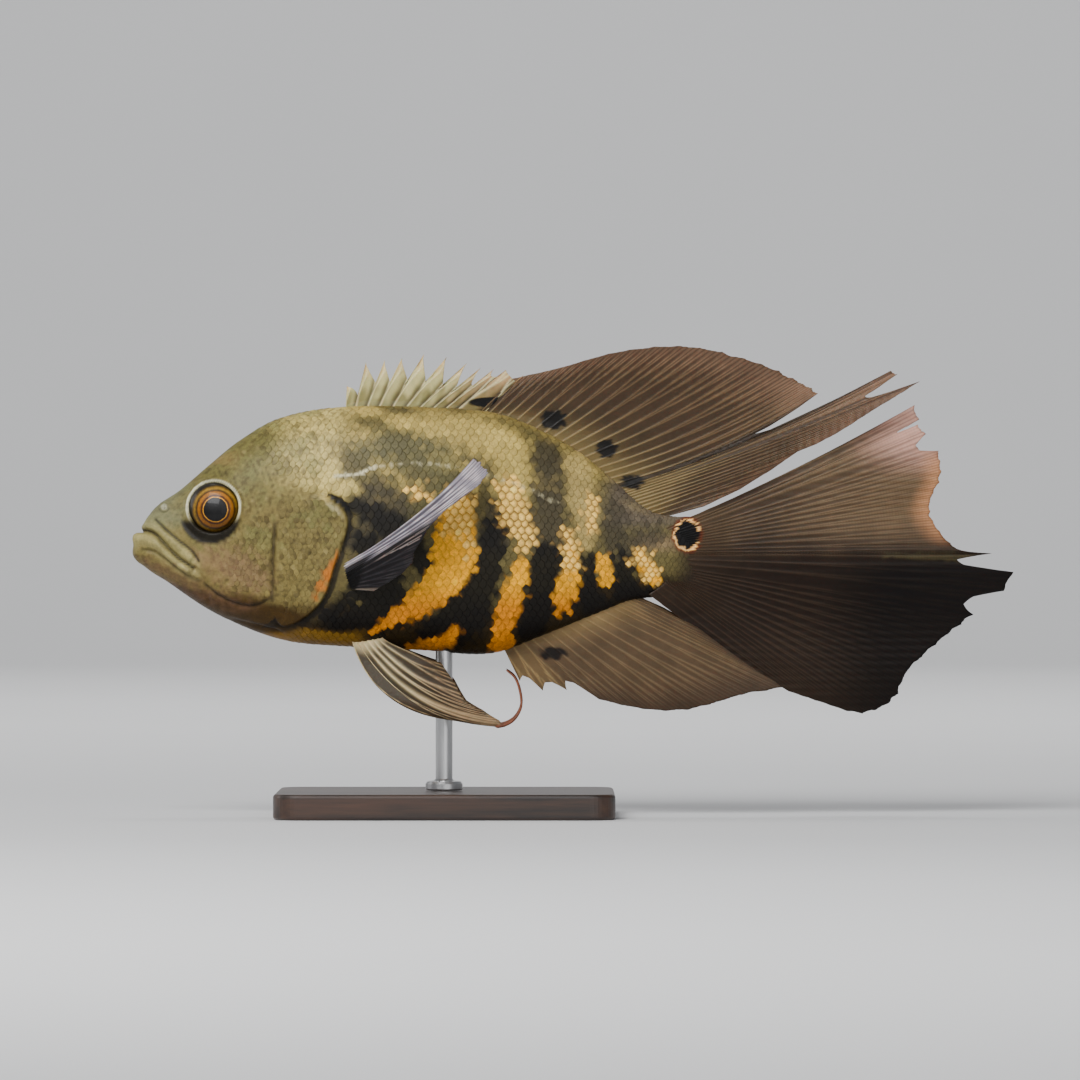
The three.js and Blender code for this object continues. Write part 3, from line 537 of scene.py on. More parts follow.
def wired(tree, target, inputs):
    """Links each socket into the node, and sets every other value on the node's own input."""
    for key, value in inputs.items():
        if isinstance(value, bpy.types.NodeSocket):
            tree.links.new(value, target.inputs[key])
        else:
            target.inputs[key].default_value = value


def node(tree, kind, inputs, **settings):
    """Adds a node and returns its first output."""
    made = tree.nodes.new("ShaderNode" + kind)
    for key, value in settings.items():
        setattr(made, key, value)
    wired(tree, made, inputs)
    return made.outputs[0]


def attribute(tree, name, output="Fac"):
    return node(tree, "Attribute", {}, attribute_name=name).node.outputs[output]


def speckle(tree, place, scale, detail=3.0, rough=0.6):
    noise = {"Vector": place, "Scale": scale, "Detail": detail, "Roughness": rough}
    return node(tree, "TexNoise", noise)


def ranged(tree, value, low, high, limits=None):
    return node(tree, "MapRange", {"Value": value, "To Min": low, "To Max": high, **(limits or {})})


def maths(tree, operation, *values):
    return node(tree, "Math", dict(enumerate(values)), operation=operation)


def times(tree, colour, tone):
    return node(tree, "VectorMath", {0: colour, 1: tone}, operation="MULTIPLY")


def bumped(tree, height, strength, distance):
    return node(tree, "Bump", {"Height": height, "Strength": strength, "Distance": distance})


def painted_flesh(name, gloss, grain, bump, dull, bright):
    """Wet skin over its markings and painted shade: the painted colour, unevenly toned, with fine
    pitting.
    """
    material, tree, shader, place = new_material(name)
    tone = ranged(tree, speckle(tree, place, grain), dull, bright)
    wired(tree, shader, {
        "Base Color": times(tree, attribute(tree, "colour_with_painted_shade", "Color"), tone),
        "Roughness": ranged(tree, speckle(tree, place, grain * 0.4), gloss - 0.08, gloss + 0.12),
        "Normal": bumped(tree, speckle(tree, place, grain * 2.2, 4), bump, 0.0004),
        "Specular IOR Level": 0.15, "Coat Weight": 0.05, "Coat Roughness": 0.22,
        "Subsurface Weight": 0.12, "Subsurface Radius": (0.6, 0.35, 0.2), "Subsurface Scale": 0.002})
    return material


def fin_web(name):
    """Thin web between bony rays, whose ray joints show as fine bars."""
    material, tree, shader, place = new_material(name)
    bars = maths(tree, "SINE", maths(tree, "MULTIPLY", attribute(tree, "ray_length"), 6.0))
    jointed = maths(tree, "MULTIPLY", bars, attribute(tree, "ray"))
    uneven = ranged(tree, speckle(tree, place, 260), 0.75, 1.22)
    tone = maths(tree, "MULTIPLY_ADD", jointed, 0.035, uneven)
    height = maths(tree, "MULTIPLY_ADD", jointed, 0.15, speckle(tree, place, 900, 2))
    wired(tree, shader, {
        "Base Color": times(tree, attribute(tree, "colour_with_painted_shade", "Color"), tone),
        "Normal": bumped(tree, height, 0.35, 0.0003),
        "Roughness": 0.42, "Specular IOR Level": 0.14,
        "Subsurface Weight": 0.15, "Subsurface Scale": 0.001})
    return material


SKIN = painted_flesh("wet skin", 0.5, 900, 0.45, 0.5, 1.4)
SCALE = painted_flesh("scale horn", 0.46, 1300, 0.3, 0.45, 1.55)
WEB = fin_web("fin web")


# One skin over head, jaws, gill covers, body and tail stem
SKIN_ROWS, SKIN_SIDES = ((410, 236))
UNDER_SCALES = 0.25


def skin():
    stations = through([(0, 1.2), (0.012, 1.32), (0.03, 1.8), (0.06, 3.1), (0.11, 6.4), (0.6, 80),
                        (0.96, 197), (1, LAST)])

    def place(u, v):
        s, around = stations(v), (u * 2 - 1) * np.pi
        point = flank(s, around)
        scaled = smooth((point[:, 0] - 60) / 24) * fade(s, 204, -6)
        stand = relief(point[:, 0], point[:, 2]) - UNDER_SCALES * scaled
        return in_frame(point + toned(flank_facing(s, around), stand * smooth((GIRTH(s) - 0.2) / 2)))

    mesh, _, _ = draped("flesh_skin", SKIN_SIDES, SKIN_ROWS, place)
    sewn(mesh)
    s, y, h = corners(mesh).T
    coloured(mesh, eye_spot(s, h, hide(s, y, h)))
    piece("flesh_skin", mesh, SKIN,
          ["head", "lower_jaw", "torso", "tail_stem", "left_gill_cover", "right_gill_cover"])


# Scales
SCALE_THICK, SCALE_TILT, SCALE_SUNK = 0.13, 0.6, 0.15
ROOT_TONE = 0.45
MAP_LONG, MAP_PATCH = 215, 0.0015


def scale_blank():
    """One scale, 1 long and 1 wide either way from its middle, from its foot at -1 to its top at 0."""
    bm = bmesh.new()
    bmesh.ops.create_cone(bm, cap_ends=True, segments=12, radius1=0.96, radius2=1, depth=1)
    top = [f for f in bm.faces if f.normal.z > 0.9]
    for thickness in (0.1, 0.4):
        bmesh.ops.inset_region(bm, faces=top, thickness=thickness, use_even_offset=True)
    bmesh.ops.poke(bm, faces=top)
    shape = np.array([v.co for v in bm.verts]) - np.array([0, 0, 0.5])
    faces = [[v.index for v in f.verts] for f in bm.faces]
    bm.free()
    return shape, faces


def coat_of_scales(name, s, around, length, width, lift, material, rim_dark):
    """One joined mesh of solid, overlapping scales, each with its free edge to the rear."""
    shape, faces = scale_blank()
    count, each = len(s), len(shape)
    x, y, z = shape.T
    a_little_round = flank(s, around + 0.01) - flank(s, around - 0.01)
    girth_step = np.linalg.norm(a_little_round, axis=-1) / 0.02
    at_s = np.minimum(s[:, None] + x * length[:, None], LAST - 1)
    at_around = around[:, None] + y * (1 - 0.2 * np.clip(-x, 0, 1)) * (width / girth_step)[:, None]
    point, out = flank(at_s, at_around), flank_facing(at_s, at_around)
    rise = lift[:, None] * (SCALE_TILT * x + SCALE_SUNK) + SCALE_THICK * z
    flat = (point + toned(out, rise + relief(point[..., 0], point[..., 2]))).reshape(-1, 3)
    mesh = bpy.data.meshes.new(name)
    joined = [[v + n * each for v in f] for n in range(count) for f in faces]
    mesh.from_pydata(in_frame(flat).tolist(), [], joined)

    # Each scale takes much of its colour from its root, with a darker rim
    root = np.repeat(flank(s, around), each, axis=0)
    dot = np.tile(1 - np.clip(np.hypot(x - 0.25, y), 0, 1) ** 2, count)
    tint = np.repeat(dice(17).normal(1, 0.05, count), each)
    rim = np.tile(smooth((np.hypot(x, y) - 0.8) / 0.2), count)
    colour = hide(*(ROOT_TONE * root + (1 - ROOT_TONE) * flat).T, dot)
    colour = toned(toned(colour, tint), 1 - rim_dark * rim)
    colour = side_line(flat[:, 0], flat[:, 2], colour)
    coloured(mesh, eye_spot(flat[:, 0], flat[:, 2], colour))

    # The baked map unrolls the skin: s runs across it and the way round the body runs up it
    sheet = mesh.uv_layers.new(name="OFBake")
    u = np.repeat(s / MAP_LONG, each) + MAP_PATCH * np.tile(x, count)
    v = np.repeat((around / (2 * np.pi)) % 1, each) + MAP_PATCH * np.tile(y, count)
    loops = np.empty(len(mesh.loops), np.int32)
    mesh.loops.foreach_get("vertex_index", loops)
    sheet.data.foreach_set("uv", np.stack([u[loops], v[loops]], -1).astype(np.float32).ravel())
    piece(name, mesh, material)


def scale_places():
    """Rows of scales along one flank: where each one sits, as s and around, and its pitch."""
    pitch = through([(40, 2.2), (60, 2.5), (90, 2.8), (135, 2.75), (165, 2.45), (185, 2.1),
                     (206, 1.9)])
    turns = np.linspace(0, np.pi, 241)
    columns, s = [], 40.0
    while s < 203:
        p = float(pitch(s))
        ring = flank(np.full_like(turns, s), turns)
        arc = np.r_[0, np.cumsum(np.linalg.norm(np.diff(ring, axis=0), axis=1))]
        row = np.arange(-50, 51) * 2 + len(columns) % 2
        at = np.interp(np.pi / 2, turns, arc) + row * p * 0.866
        at = at[(at > 1.2) & (at < arc[-1] - 0.6)]
        columns.append([np.full(len(at), s), np.interp(at, arc, turns), np.full(len(at), p)])
        s += p / 2
    s, around, p = np.concatenate(columns, axis=1)
    draw = dice(7)
    s, around = s + draw.normal(0, 0.12, len(s)), around + draw.normal(0, 0.003, len(s))
    at_s, _, h = flank(s, around).T
    past, _ = cover(at_s, h)
    behind_head = s > np.interp(h, [15, 22, 30, 44], [68, 56, 47, 41])
    keep = np.where(h > 15, behind_head, (past > 2.3) & (s > 56))
    pectoral_root = np.hypot((at_s - 77) / 4.5, (h + 14) / 6.5)
    slit_top = np.hypot((at_s - 74.6) / 5.4, (h - 14.2 + 0.6 * (at_s - 74.6)) / 2.4)
    keep &= (pectoral_root > 1) & (slit_top > 1)
    return s[keep], around[keep], p[keep]


def scales():
    s, around, p = scale_places()
    for word, side in SIDES:
        size = p * dice(9).uniform(0.96, 1.06, len(p))
        lift = (0.11 + 0.03 * size) * fade(s, 205, -12)
        coat_of_scales(f"{word}_scales", s, around * side, size * 0.82, size * 0.78, lift, SCALE,
                       rim_dark=0.14)


def cheek_scale_places():
    """Where the small scales of one cheek and gill cover sit."""
    s, h = np.meshgrid(np.arange(35, 77, 1.05), np.arange(-28, 16, 1.85))
    odd = (np.arange(s.shape[1])[None, :] + np.arange(s.shape[0])[:, None]) % 2 == 0
    s, h = s[odd], h[odd]
    past, _ = cover(s, h)
    on_cover = (past < -2.4) & (s > 53.4) & (near(CHEEK_REAR, s, h)[0] > 1.6) & (h > -26)
    off_eye = far(s, h, (EYE_S, EYE_H)) > 13
    on_cheek = off_eye & (s > 36) & (s < 50.4) & (h > -19 + 0.1 * (50 - s)) & (h < 9)
    keep = on_cover | on_cheek
    s, h = s[keep], h[keep]
    rise = h - LEVEL(s)
    up = np.clip(np.abs(rise) / reach_from_level(s, h), 0, 0.995) ** (ROUND(s) / 2)
    return s, np.arccos(np.sign(rise) * up)


def cheek_scales():
    s, around = cheek_scale_places()
    s, around = np.r_[s, s], np.r_[-around, around]
    draw = dice(10)
    size = draw.uniform(1.9, 2.2, len(s))
    s = s + draw.normal(0, 0.15, len(s))
    coat_of_scales("cheek_scales", s, around, size * 0.74, size * 0.72, np.full(len(s), 0.1), SKIN,
                   rim_dark=0.06)


# Fins. A ray is (foot s, foot h, tip s, tip h, tip y, bow, foot y), and those left out are 0
def ray_keys(rows, side=-1):
    """Rays as foot (s, h, y), tip (s, h, y) and bow; side turns them to the left or right flank."""
    full = np.array([row + (0.0,) * (7 - len(row)) for row in rows], float)
    full[:, [4, 6]] *= -side
    return full[:, [0, 1, 6, 2, 3, 4, 5]]


def fan(*runs):
    """Every ray of a fin, from (keys, number of rays) for each run between two notches."""
    return np.concatenate([drawn(ray_keys(rows), count) for rows, count in runs])


def ray_lines(u, v, wide):
    """Strength of the nearest bony ray: each forks a third of the way out and at two thirds."""
    d = u - np.rint(u)
    first = 0.25 * fade(v, 0.3, 0.55)
    second = 0.125 * fade(v, 0.6, 0.4)
    best = np.zeros_like(u)
    for a in (-1, 1):
        for b in (-1, 1):
            off = np.abs(d - a * first - b * second)
            best = np.maximum(best, bell(np.minimum(off, np.abs(off - 1)) / wide))
    return best


SCALLOP, WEB_HALF = 0.006, 0.14
FRAYS = 8


def walled(obj, half):
    """Gives a flat fin its thickness; half is half of it in millimetres at each corner."""
    most = float(half.max())
    share = np.round(half / most, 2)
    body = obj.vertex_groups.new(name="thickness")
    for value in np.unique(share):
        body.add(np.flatnonzero(np.abs(share - value) < 1e-9).tolist(), float(value), "REPLACE")
    wall = obj.modifiers.new("wall", "SOLIDIFY")
    wall.thickness, wall.offset, wall.use_even_offset = 2 * most * MM, 0, False
    wall.vertex_group, wall.use_quality_normals = "thickness", False


def fin(name, rays, slits, bend, colour, replaces, rows=70, fine=12, ragged=0.012,
        root=1.6, taper=5.0, ridge=0.22, seed=3, saw=None):
    """A web over rays laid from foot to tip, its edge frayed or, with saw, stepped at each spine.
    slits is {gap number: share of the length left}; root, taper and ridge are its thickness."""
    count = len(rays)
    frayed = dice(seed).uniform(-1, 1, (count + 1) * FRAYS)

    def edge(at, f):
        """How much of its length each part of the web keeps."""
        if saw:
            step = (saw[0] + saw[1] * f ** 0.8) * np.clip((count - 1.4 - at) / 2, 0.3, 1)
            return 1 - np.where((f > 0.02) & (f < 0.98), step * (1 + 0.5 * (at < 1)), 0)
        rough = np.interp(at * FRAYS, np.arange(len(frayed)), frayed)
        slow = 0.6 * np.sin(at * 1.7 + seed) + 0.4 * np.sin(at * 4.3 + 2 * seed)
        return 1 - SCALLOP * 4 * f * (1 - f) - ragged * (0.5 + 0.25 * rough + 0.25 * slow)

    def lay(u, v):
        """For each corner: its ray, its share of the ray, its place, and the ray's length."""
        at = u * (count - 1)
        i = np.clip(np.floor(at + 1e-9).astype(int), 0, count - 2)
        f = at - i
        both = rays[i] * (1 - f)[:, None] + rays[i + 1] * f[:, None]
        foot, tip, bow = both[:, :3], both[:, 3:6], both[:, 6]
        reach = edge(at, f)
        for gap, left in slits.items():
            notch = (1 - left) * np.clip(np.minimum(f, 1 - f) / 0.34, 0, 1) ** 0.8
            reach = np.where((at > gap) & (at < gap + 1), reach - notch, reach)
        share = v * reach
        chord = tip - foot
        length = np.hypot(chord[:, 0], chord[:, 1])
        along = foot + chord * share[:, None]
        lean = bow * 4 * share * (1 - share) / length
        s, h = along[:, 0] + chord[:, 1] * lean, along[:, 1] - chord[:, 0] * lean
        return at, share, s, along[:, 2] + bend(share, s, h), h, length

    def place(u, v):
        return in_frame(np.stack(lay(u, v)[2:5], -1))

    mesh, u, v = draped(name, (count - 1) * fine, rows, place)
    at, share, s, _, h, length = lay(u, v)
    nearest = np.clip(np.rint(at).astype(int), 1, count - 1)
    apart = rays[nearest] - rays[nearest - 1]
    gap = np.hypot(*(apart[:, 0:2] * (1 - share)[:, None] + apart[:, 3:5] * share[:, None]).T)
    ray = ray_lines(at, share, np.clip(0.34 / np.maximum(gap, 0.3), 0.035, 0.28))
    coloured(mesh, colour(at, share, s, h, ray))
    measured(mesh, ray=ray, ray_length=share * length)
    half = np.maximum(root * (1 - share * taper), WEB_HALF * (1 - 0.4 * share))
    walled(piece(name, mesh, WEB, replaces), half + ridge * ray * (1 - 0.55 * share))


RAY_DARK, WEB_BROWN, WEB_OLIVE = (36, 27, 18), (94, 74, 50), (104, 88, 48)
EDGE_PINK, TIP_PALE, TIP_ORANGE = (130, 100, 78), (206, 160, 142), (190, 134, 92)


def web(ray, share, strength):
    """The dark lines beside each ray."""
    return strength * (1 - ray) * smooth(share * 3)


DORSAL_MAIN = [(121, 42, 136, 57.4), (130, 41, 152.7, 61.3, 0.5), (139.5, 37, 175.7, 67.5, 1.5),
               (147.5, 33, 198.8, 69, 2, 1), (154.5, 28.5, 220.1, 64.3, 2, 2),
               (161, 23.6, 236.8, 57.4, 1.5, 3), (167, 18.6, 244.8, 52.4, 1, 3.6)]
DORSAL_TRAIL_TIP = [(169, 16.8, 270.9, 60.6, -0.8, 3.4), (170, 16, 272.6, 59, -1, 2.8)]
DORSAL_TRAIL = [(171, 15.4, 280.2, 56.2, -2.4, 1.6), (172, 14.4, 274.1, 52.2, -2.5, 1.4),
                (173, 13.4, 263.4, 45.8, -2.4, 1.2), (174.4, 12, 255.4, 40.5, -2.2, 1),
                (176, 10.6, 246.6, 35.4, -2, 0.6), (178, 8.8, 236.6, 31.2, -1.6, 0.4),
                (180, 7.4, 221.9, 20.8, -1), (182, 6, 204, 12)]
DORSAL_SPOTS = [((150.2, 42.6), (4.4, 3.6)), ((169.3, 32.3), (3.6, 3.3)),
                ((178.6, 20.6), (4.4, 2.6))]


def dorsal_colour(at, share, s, h, ray):
    ground = layered(
        WEB_BROWN,
        (WEB_OLIVE, 0.8 * fade(share, 0.5, -0.4)),
        (EDGE_PINK, 0.7 * fade(share, 0.7, 0.3) + 0.35 * fade(s, 225, 30)))
    return layered(
        toned(ground, 1 + 0.12 * mottle(s, h, 7, 91)),
        ((160, 138, 96), 0.42 * ray * fade(share, 0.5, -0.35)),
        (RAY_DARK, web(ray, share, 0.8)),
        (RAY_DARK, 0.8 * smooth((0.5 - np.abs(at - 17.5)) / 0.2)),
        *((INK, 0.98 * spot(s, h, *mark, 0.5, 0.6, 94 + i)) for i, mark in enumerate(DORSAL_SPOTS)))


def dorsal_fin():
    rays = fan((DORSAL_MAIN, 18), (DORSAL_TRAIL_TIP, 2), (DORSAL_TRAIL, 11))
    fin("dorsal_fin", rays, {17: 0.62, 19: 0.87},
        lambda v, s, h: 1.6 * v * v * np.sin(s / 17) - 1.2 * v + 0.12 * np.sin(s * 2.1) * v,
        dorsal_colour, ["dorsal_fin_soft", "dorsal_fin_trail"], rows=84)


SPINES = [(76.5, 46, 77, 54.8), (80, 46, 83.8, 63.2, -0.6), (84, 46, 90.5, 63.9, 0.5),
          (88, 45.8, 96.6, 64.6, -0.4), (92.5, 45.6, 104.4, 66, 0.6), (97, 45.5, 112.5, 65, -0.5),
          (101.6, 45.4, 119.6, 62.8, 0.4), (106, 45.2, 124.6, 61.2, -0.5),
          (110.2, 45, 129.2, 60.7, 0.3), (114.4, 44.6, 133.5, 60.4, -0.3),
          (122.5, 42, 139.6, 58.4, -0.2)]


def spine_colour(at, share, s, h, ray):
    rear = fade(at, 5.5, 3)
    f = at - np.floor(at)
    between = fade(f, 0.45, 0.4) * fade(f, 1, -0.08)
    # Painted shadow: a black slot where the gap to the soft dorsal shows
    gap_shade = np.hypot((s - 129.6) / 9.6, (h - 48.9) / 1.9)
    return layered(
        (180, 172, 116),
        ((126, 100, 66), 0.85 * rear),
        ((206, 160, 112), 0.45 * fade(share, 0.6, 0.3)),
        ((98, 92, 48), 0.7 * smooth((0.55 - share + 0.2 * mottle(s, h, 3, 93)) / 0.4)),
        ((46, 38, 20), (0.75 + 0.2 * rear) * between),
        ((226, 214, 164), 0.6 * ray),
        (INK, fade(gap_shade, 1.1, -0.2)))


def spiny_dorsal():
    fin("dorsal_spines", ray_keys(SPINES), {}, lambda v, s, h: 0.2 * np.sin(s * 1.3) * v,
        spine_colour, ["dorsal_fin_spines"], rows=44, fine=16, saw=(0.02, 0.46), root=1.5, ridge=0.4)


TAIL = [([(190, 4.2, 279.2, 48.2, 5, 1.4), (190, 3.2, 280.8, 43, 4, 1)], 2),
        ([(190, 2.4, 280.4, 41.2, 3.8, 0.8), (190, 1.6, 283.4, 38, 3.4, 0.6)], 2),
        ([(190, 0.8, 287.6, 31.8, 2.6, 0.4), (190, -0.5, 288.6, 22.8, 1.4),
          (190, -1.7, 284.7, 14.2, 0.6), (190, -2.9, 285.8, 6.4), (190, -4.1, 293.9, -3, -0.5),
          (190, -5.3, 306, -4.8)], 13),
        ([(190, -6.4, 314.2, -11.4, 1), (190, -7.6, 311.3, -18.1, 3)], 2),
        ([(190, -8.8, 300, -26.6, 6), (190, -10, 289.3, -35.5, 9), (190, -11.2, 277.6, -46.1, 11),
          (190, -12.4, 272.3, -56.8, 12), (190, -13.6, 260.9, -62.1, 10.5),
          (189, -15.4, 246.7, -58.2, 8), (184, -19, 234.3, -54, 6, 1)], 16)]
TAIL_STREAK = [(268, -5.5, 0.8), (292, -6, 1.6), (312, -9.5, 0.5)]


def tail_colour(at, share, s, h, ray):
    tip = fade(share, 0.9, 0.09) * fade(h, -5, 6) * fade(h, 36, -10)
    ground = layered(
        (76, 60, 42),
        ((100, 81, 58), fade(share, 0.35, 0.3)),
        (TIP_PALE, 0.9 * fade(share, 0.66, 0.34) * fade(h, 20, 14)),
        (TIP_ORANGE, 0.75 * tip),
        # Painted shade of the fin's fold: the lower half darker, and the lower rear near black
        ((38, 27, 19), 0.9 * smooth((10 - h + 1.6 * mottle(s, h, 9, 99)) / 20)),
        ((16, 11, 8), 0.9 * fade(s, 232, 40) * smooth((-h + 0.12 * (s - 262)) / 14)),
        ((74, 66, 40), 0.6 * blotch(TAIL_STREAK, s, h, 0.8, 0.5, 103)))
    ground = layered(ground, (ground * 0.36, web(ray, share, 0.85)))
    ground = layered(ground, (ground * 1.9, 0.35 * ray * fade(share, 0.75, -0.4)))
    return eye_spot(s, h, ground)


def tail_fin():
    def cup(v, s, h):
        return v * (0.0011 * (h + 6) ** 2 + 1.1 * np.sin(h / 6) * v) + 0.12 * np.sin(h * 2.3) * v

    fin("tail_fin", fan(*TAIL), {1: 0.92, 3: 0.95, 16: 0.88, 18: 0.94}, cup, tail_colour,
        ["tail_fin_upper", "tail_fin_lower"], rows=90, root=3.4, taper=4.0, ragged=0.008)


ANAL_SPINES = [(131, -35, 138.4, -50.1), (133.5, -34, 146.6, -53.6), (136.5, -33, 155.2, -53.4)]
ANAL_SOFT = [(139, -32, 166.8, -56.8, -0.5), (144.5, -30, 181, -60, -1),
             (150, -28, 195.2, -60.9, -1.6), (155, -26, 207.7, -58.2, -2),
             (160, -24, 218.3, -54.9, -1.6), (165, -21.5, 231.6, -52.6, -1),
             (168.5, -20, 226.2, -48.8, -0.6), (171.5, -19, 215, -41.2), (174, -18.4, 201.5, -31),
             (176, -18, 189, -23.8)]


def anal_colour(at, share, s, h, ray):
    pale = 0.55 * fade(share, 0.32, -0.3) + 0.5 * fade(at, 2.6, -1)
    ground = layered((102, 83, 58), ((68, 54, 40), fade(share, 0.6, 0.4)), ((150, 124, 78), pale))
    return layered(
        toned(ground, 1 + 0.1 * mottle(s, h, 8, 105)),
        (RAY_DARK, web(ray, share, 0.58)),
        ((12, 9, 8), 0.95 * spot(s, h, (150.2, -40.2), (4.6, 2.2), 0.5, 0.4, 101)))


def anal_fin():
    fin("anal_fin_rays", fan((ANAL_SPINES, 3), (ANAL_SOFT, 17)), {0: 0.82, 1: 0.86, 2: 0.8},
        lambda v, s, h: 1.4 * v * v * np.sin(s / 14) + 0.8 * v, anal_colour, ["anal_fin"], rows=64)


PELVIC = [(78.5, -34.5, 110, -63, -13, 6.6, -5.5), (80, -34.5, 133.1, -66, -16, 8.6, -5.6),
          (82, -34.5, 131, -64.4, -16.4, 7, -6), (84, -34.5, 125, -60.6, -16.6, 4.5, -6.6),
          (86, -34.8, 119.3, -57.2, -16.2, 2.6, -7.2), (88, -35, 115.2, -50, -14.6, 1.2, -7.8),
          (90, -35.2, 110.6, -43.4, -12.4, 0.4, -8.4)]
THREAD = [(129.6, -66, -16.4), (133.4, -65.2, -16.4), (136.7, -63, -15.9), (138.9, -58.6, -15.2),
          (138.4, -53.2, -14.4), (136.6, -48.6, -13.7), (133.4, -45.8, -13)]
THREAD_THICK, THREAD_THIN = 0.62, 0.28


def pelvic_colour(at, share, s, h, ray):
    return layered(
        (206, 186, 140),
        ((168, 140, 104), fade(share, 0.3, 0.5)),
        ((28, 21, 15), 0.95 * (1 - ray) ** 0.5 * smooth(share * 7)),
        ((50, 40, 26), 0.5 * fade(at, 3, 3)))


def drawn_tube(name, stops, thick, thin, steps, sides=10):
    """A round thread through (s, h, y) stops, closed to a point at both ends."""
    line = drawn(stops, steps + 1)
    run = np.gradient(line, axis=0)
    run /= np.linalg.norm(run, axis=1, keepdims=True)
    beside = np.cross(run, [0, 0, 1.0])
    beside /= np.linalg.norm(beside, axis=1, keepdims=True)
    above = np.cross(beside, run)

    def place(u, v):
        i = np.rint(v * steps).astype(int)
        radius = (thick + (thin - thick) * v) * np.where((i == 0) | (i == steps), 0.0, 1.0)
        turn = u * 2 * np.pi
        point = line[i] + toned(toned(beside[i], np.cos(turn)) + toned(above[i], np.sin(turn)), radius)
        return in_frame(point[:, [0, 2, 1]])

    mesh, _, _ = draped(name, sides, steps, place)
    sewn(mesh)
    return mesh


def pelvic_fins():
    for word, side in SIDES:
        fin(f"{word}_pelvic_rays", ray_keys(PELVIC, side), {},
            lambda v, s, h: side * 2.5 * np.sin(np.pi * v), pelvic_colour, [f"{word}_pelvic_fin"],
            rows=56, fine=14, root=1.3, ragged=0.0, seed=12 + side, ridge=0.32)
        stops = [(s, h, -side * y) for s, h, y in THREAD]
        mesh = drawn_tube(f"{word}_pelvic_thread", stops, THREAD_THICK, THREAD_THIN, 26)
        s, _, h = corners(mesh).T
        coloured(mesh, toned(paint((112, 66, 46)), 1 + 0.2 * mottle(s, h, 3, 8)))
        measured(mesh, ray=np.ones(len(s)), ray_length=h)
        piece(f"{word}_pelvic_thread", mesh, WEB, [f"{word}_pelvic_filament"])


PECTORAL = [(74.8, -9.6, 123.4, 30.2, -21.5, 3, -17.6), (75.2, -10.4, 127.4, 26.4, -26, 2.2, -17.6),
            (75.8, -11.4, 126.7, 21.6, -29.5, 1.4, -17.6), (76.4, -12.4, 118, 15, -32, 0.8, -17.5),
            (77, -13.4, 109.3, 7.4, -32.5, 0, -17.4), (77.6, -14.4, 102.8, -2.6, -31, 0, -17.3),
            (78.1, -15.4, 101.2, -8.4, -28.6, 0, -17.2), (78.6, -16.4, 94.1, -13.9, -25, 0, -17),
            (79, -17.4, 87.2, -18, -20.6, 0, -16.8)]


def pectoral_colour(at, share, s, h, ray):
    pale_ray = (ray > 0.5) * fade(at, 5.4, 0.3) * fade(at, 6.7, -0.3)
    return layered(
        (146, 139, 146),
        ((198, 188, 190), 0.8 * ray * smooth(0.5 + mottle(s, h, 4, 31))),
        ((44, 40, 50), 0.85 * (1 - ray) * smooth(share * 5)),
        # Painted shade seen through the thin fin: its lower rays near black
        ((11, 9, 9), 0.95 * smooth((at - 4.2 - 1.5 * (share - 0.5)) / 0.9)),
        ((132, 118, 112), 0.7 * pale_ray * fade(share, 0.3, 0.2)),
        ((110, 98, 86), 0.7 * fade(at, 10.4, 0.5)),
        # Painted shade seen through the thin fin at the root of all but its top rays
        ((8, 7, 7), 0.95 * fade(share, 0.26, -0.1) * fade(at, 1.2, 1.2)))


def pectoral_fins():
    for word, side in SIDES:
        fin(f"{word}_pectoral_rays", drawn(ray_keys(PECTORAL, side), 12), {},
            lambda v, s, h: side * 4 * (1 - (1 - v) ** 4), pectoral_colour, [f"{word}_pectoral_fin"],
            rows=56, root=1.0, ragged=0.05, seed=20)


# Eyes
IRIS_RINGS = [(0.0, (3, 3, 3)), (0.475, (4, 3, 3)), (0.495, (200, 138, 22)), (0.53, (84, 42, 8)),
              (0.575, (36, 18, 4)), (0.63, (116, 70, 4)), (0.7, (128, 78, 6)), (0.77, (40, 25, 5)),
              (0.87, (118, 88, 22)), (0.95, (54, 40, 12)), (1.0, (20, 16, 10))]


def ringed(tree, value, stops):
    """A colour ramp through (position, colour) stops."""
    ramp = node(tree, "ValToRGB", {"Fac": value})
    elements = ramp.node.color_ramp.elements
    while len(elements) < len(stops):
        elements.new(0.5)
    for element, (position, colour) in zip(elements, stops):
        element.position = position
        element.color = (*paint(colour), 1)
    return ramp


def ringed_iris():
    material, tree, shader, place = new_material("iris")
    wander = ranged(tree, speckle(tree, place, 600, 4), -0.04, 0.04)
    rings = ringed(tree, maths(tree, "ADD", attribute(tree, "ring"), wander), IRIS_RINGS)
    flecks = ranged(tree, speckle(tree, place, 1500, 2), 0.4, 1.7)
    limits = {"From Min": -0.7, "From Max": 0.7}
    # Painted light from above: the iris brighter towards its top and darker below
    top_light = ranged(tree, attribute(tree, "above"), 0.55, 1.5, limits)
    wired(tree, shader, {
        "Base Color": times(tree, rings, maths(tree, "MULTIPLY", flecks, top_light)),
        "Roughness": 0.45, "Specular IOR Level": 0.2, "Coat Weight": 0.12, "Coat Roughness": 0.04})
    return material


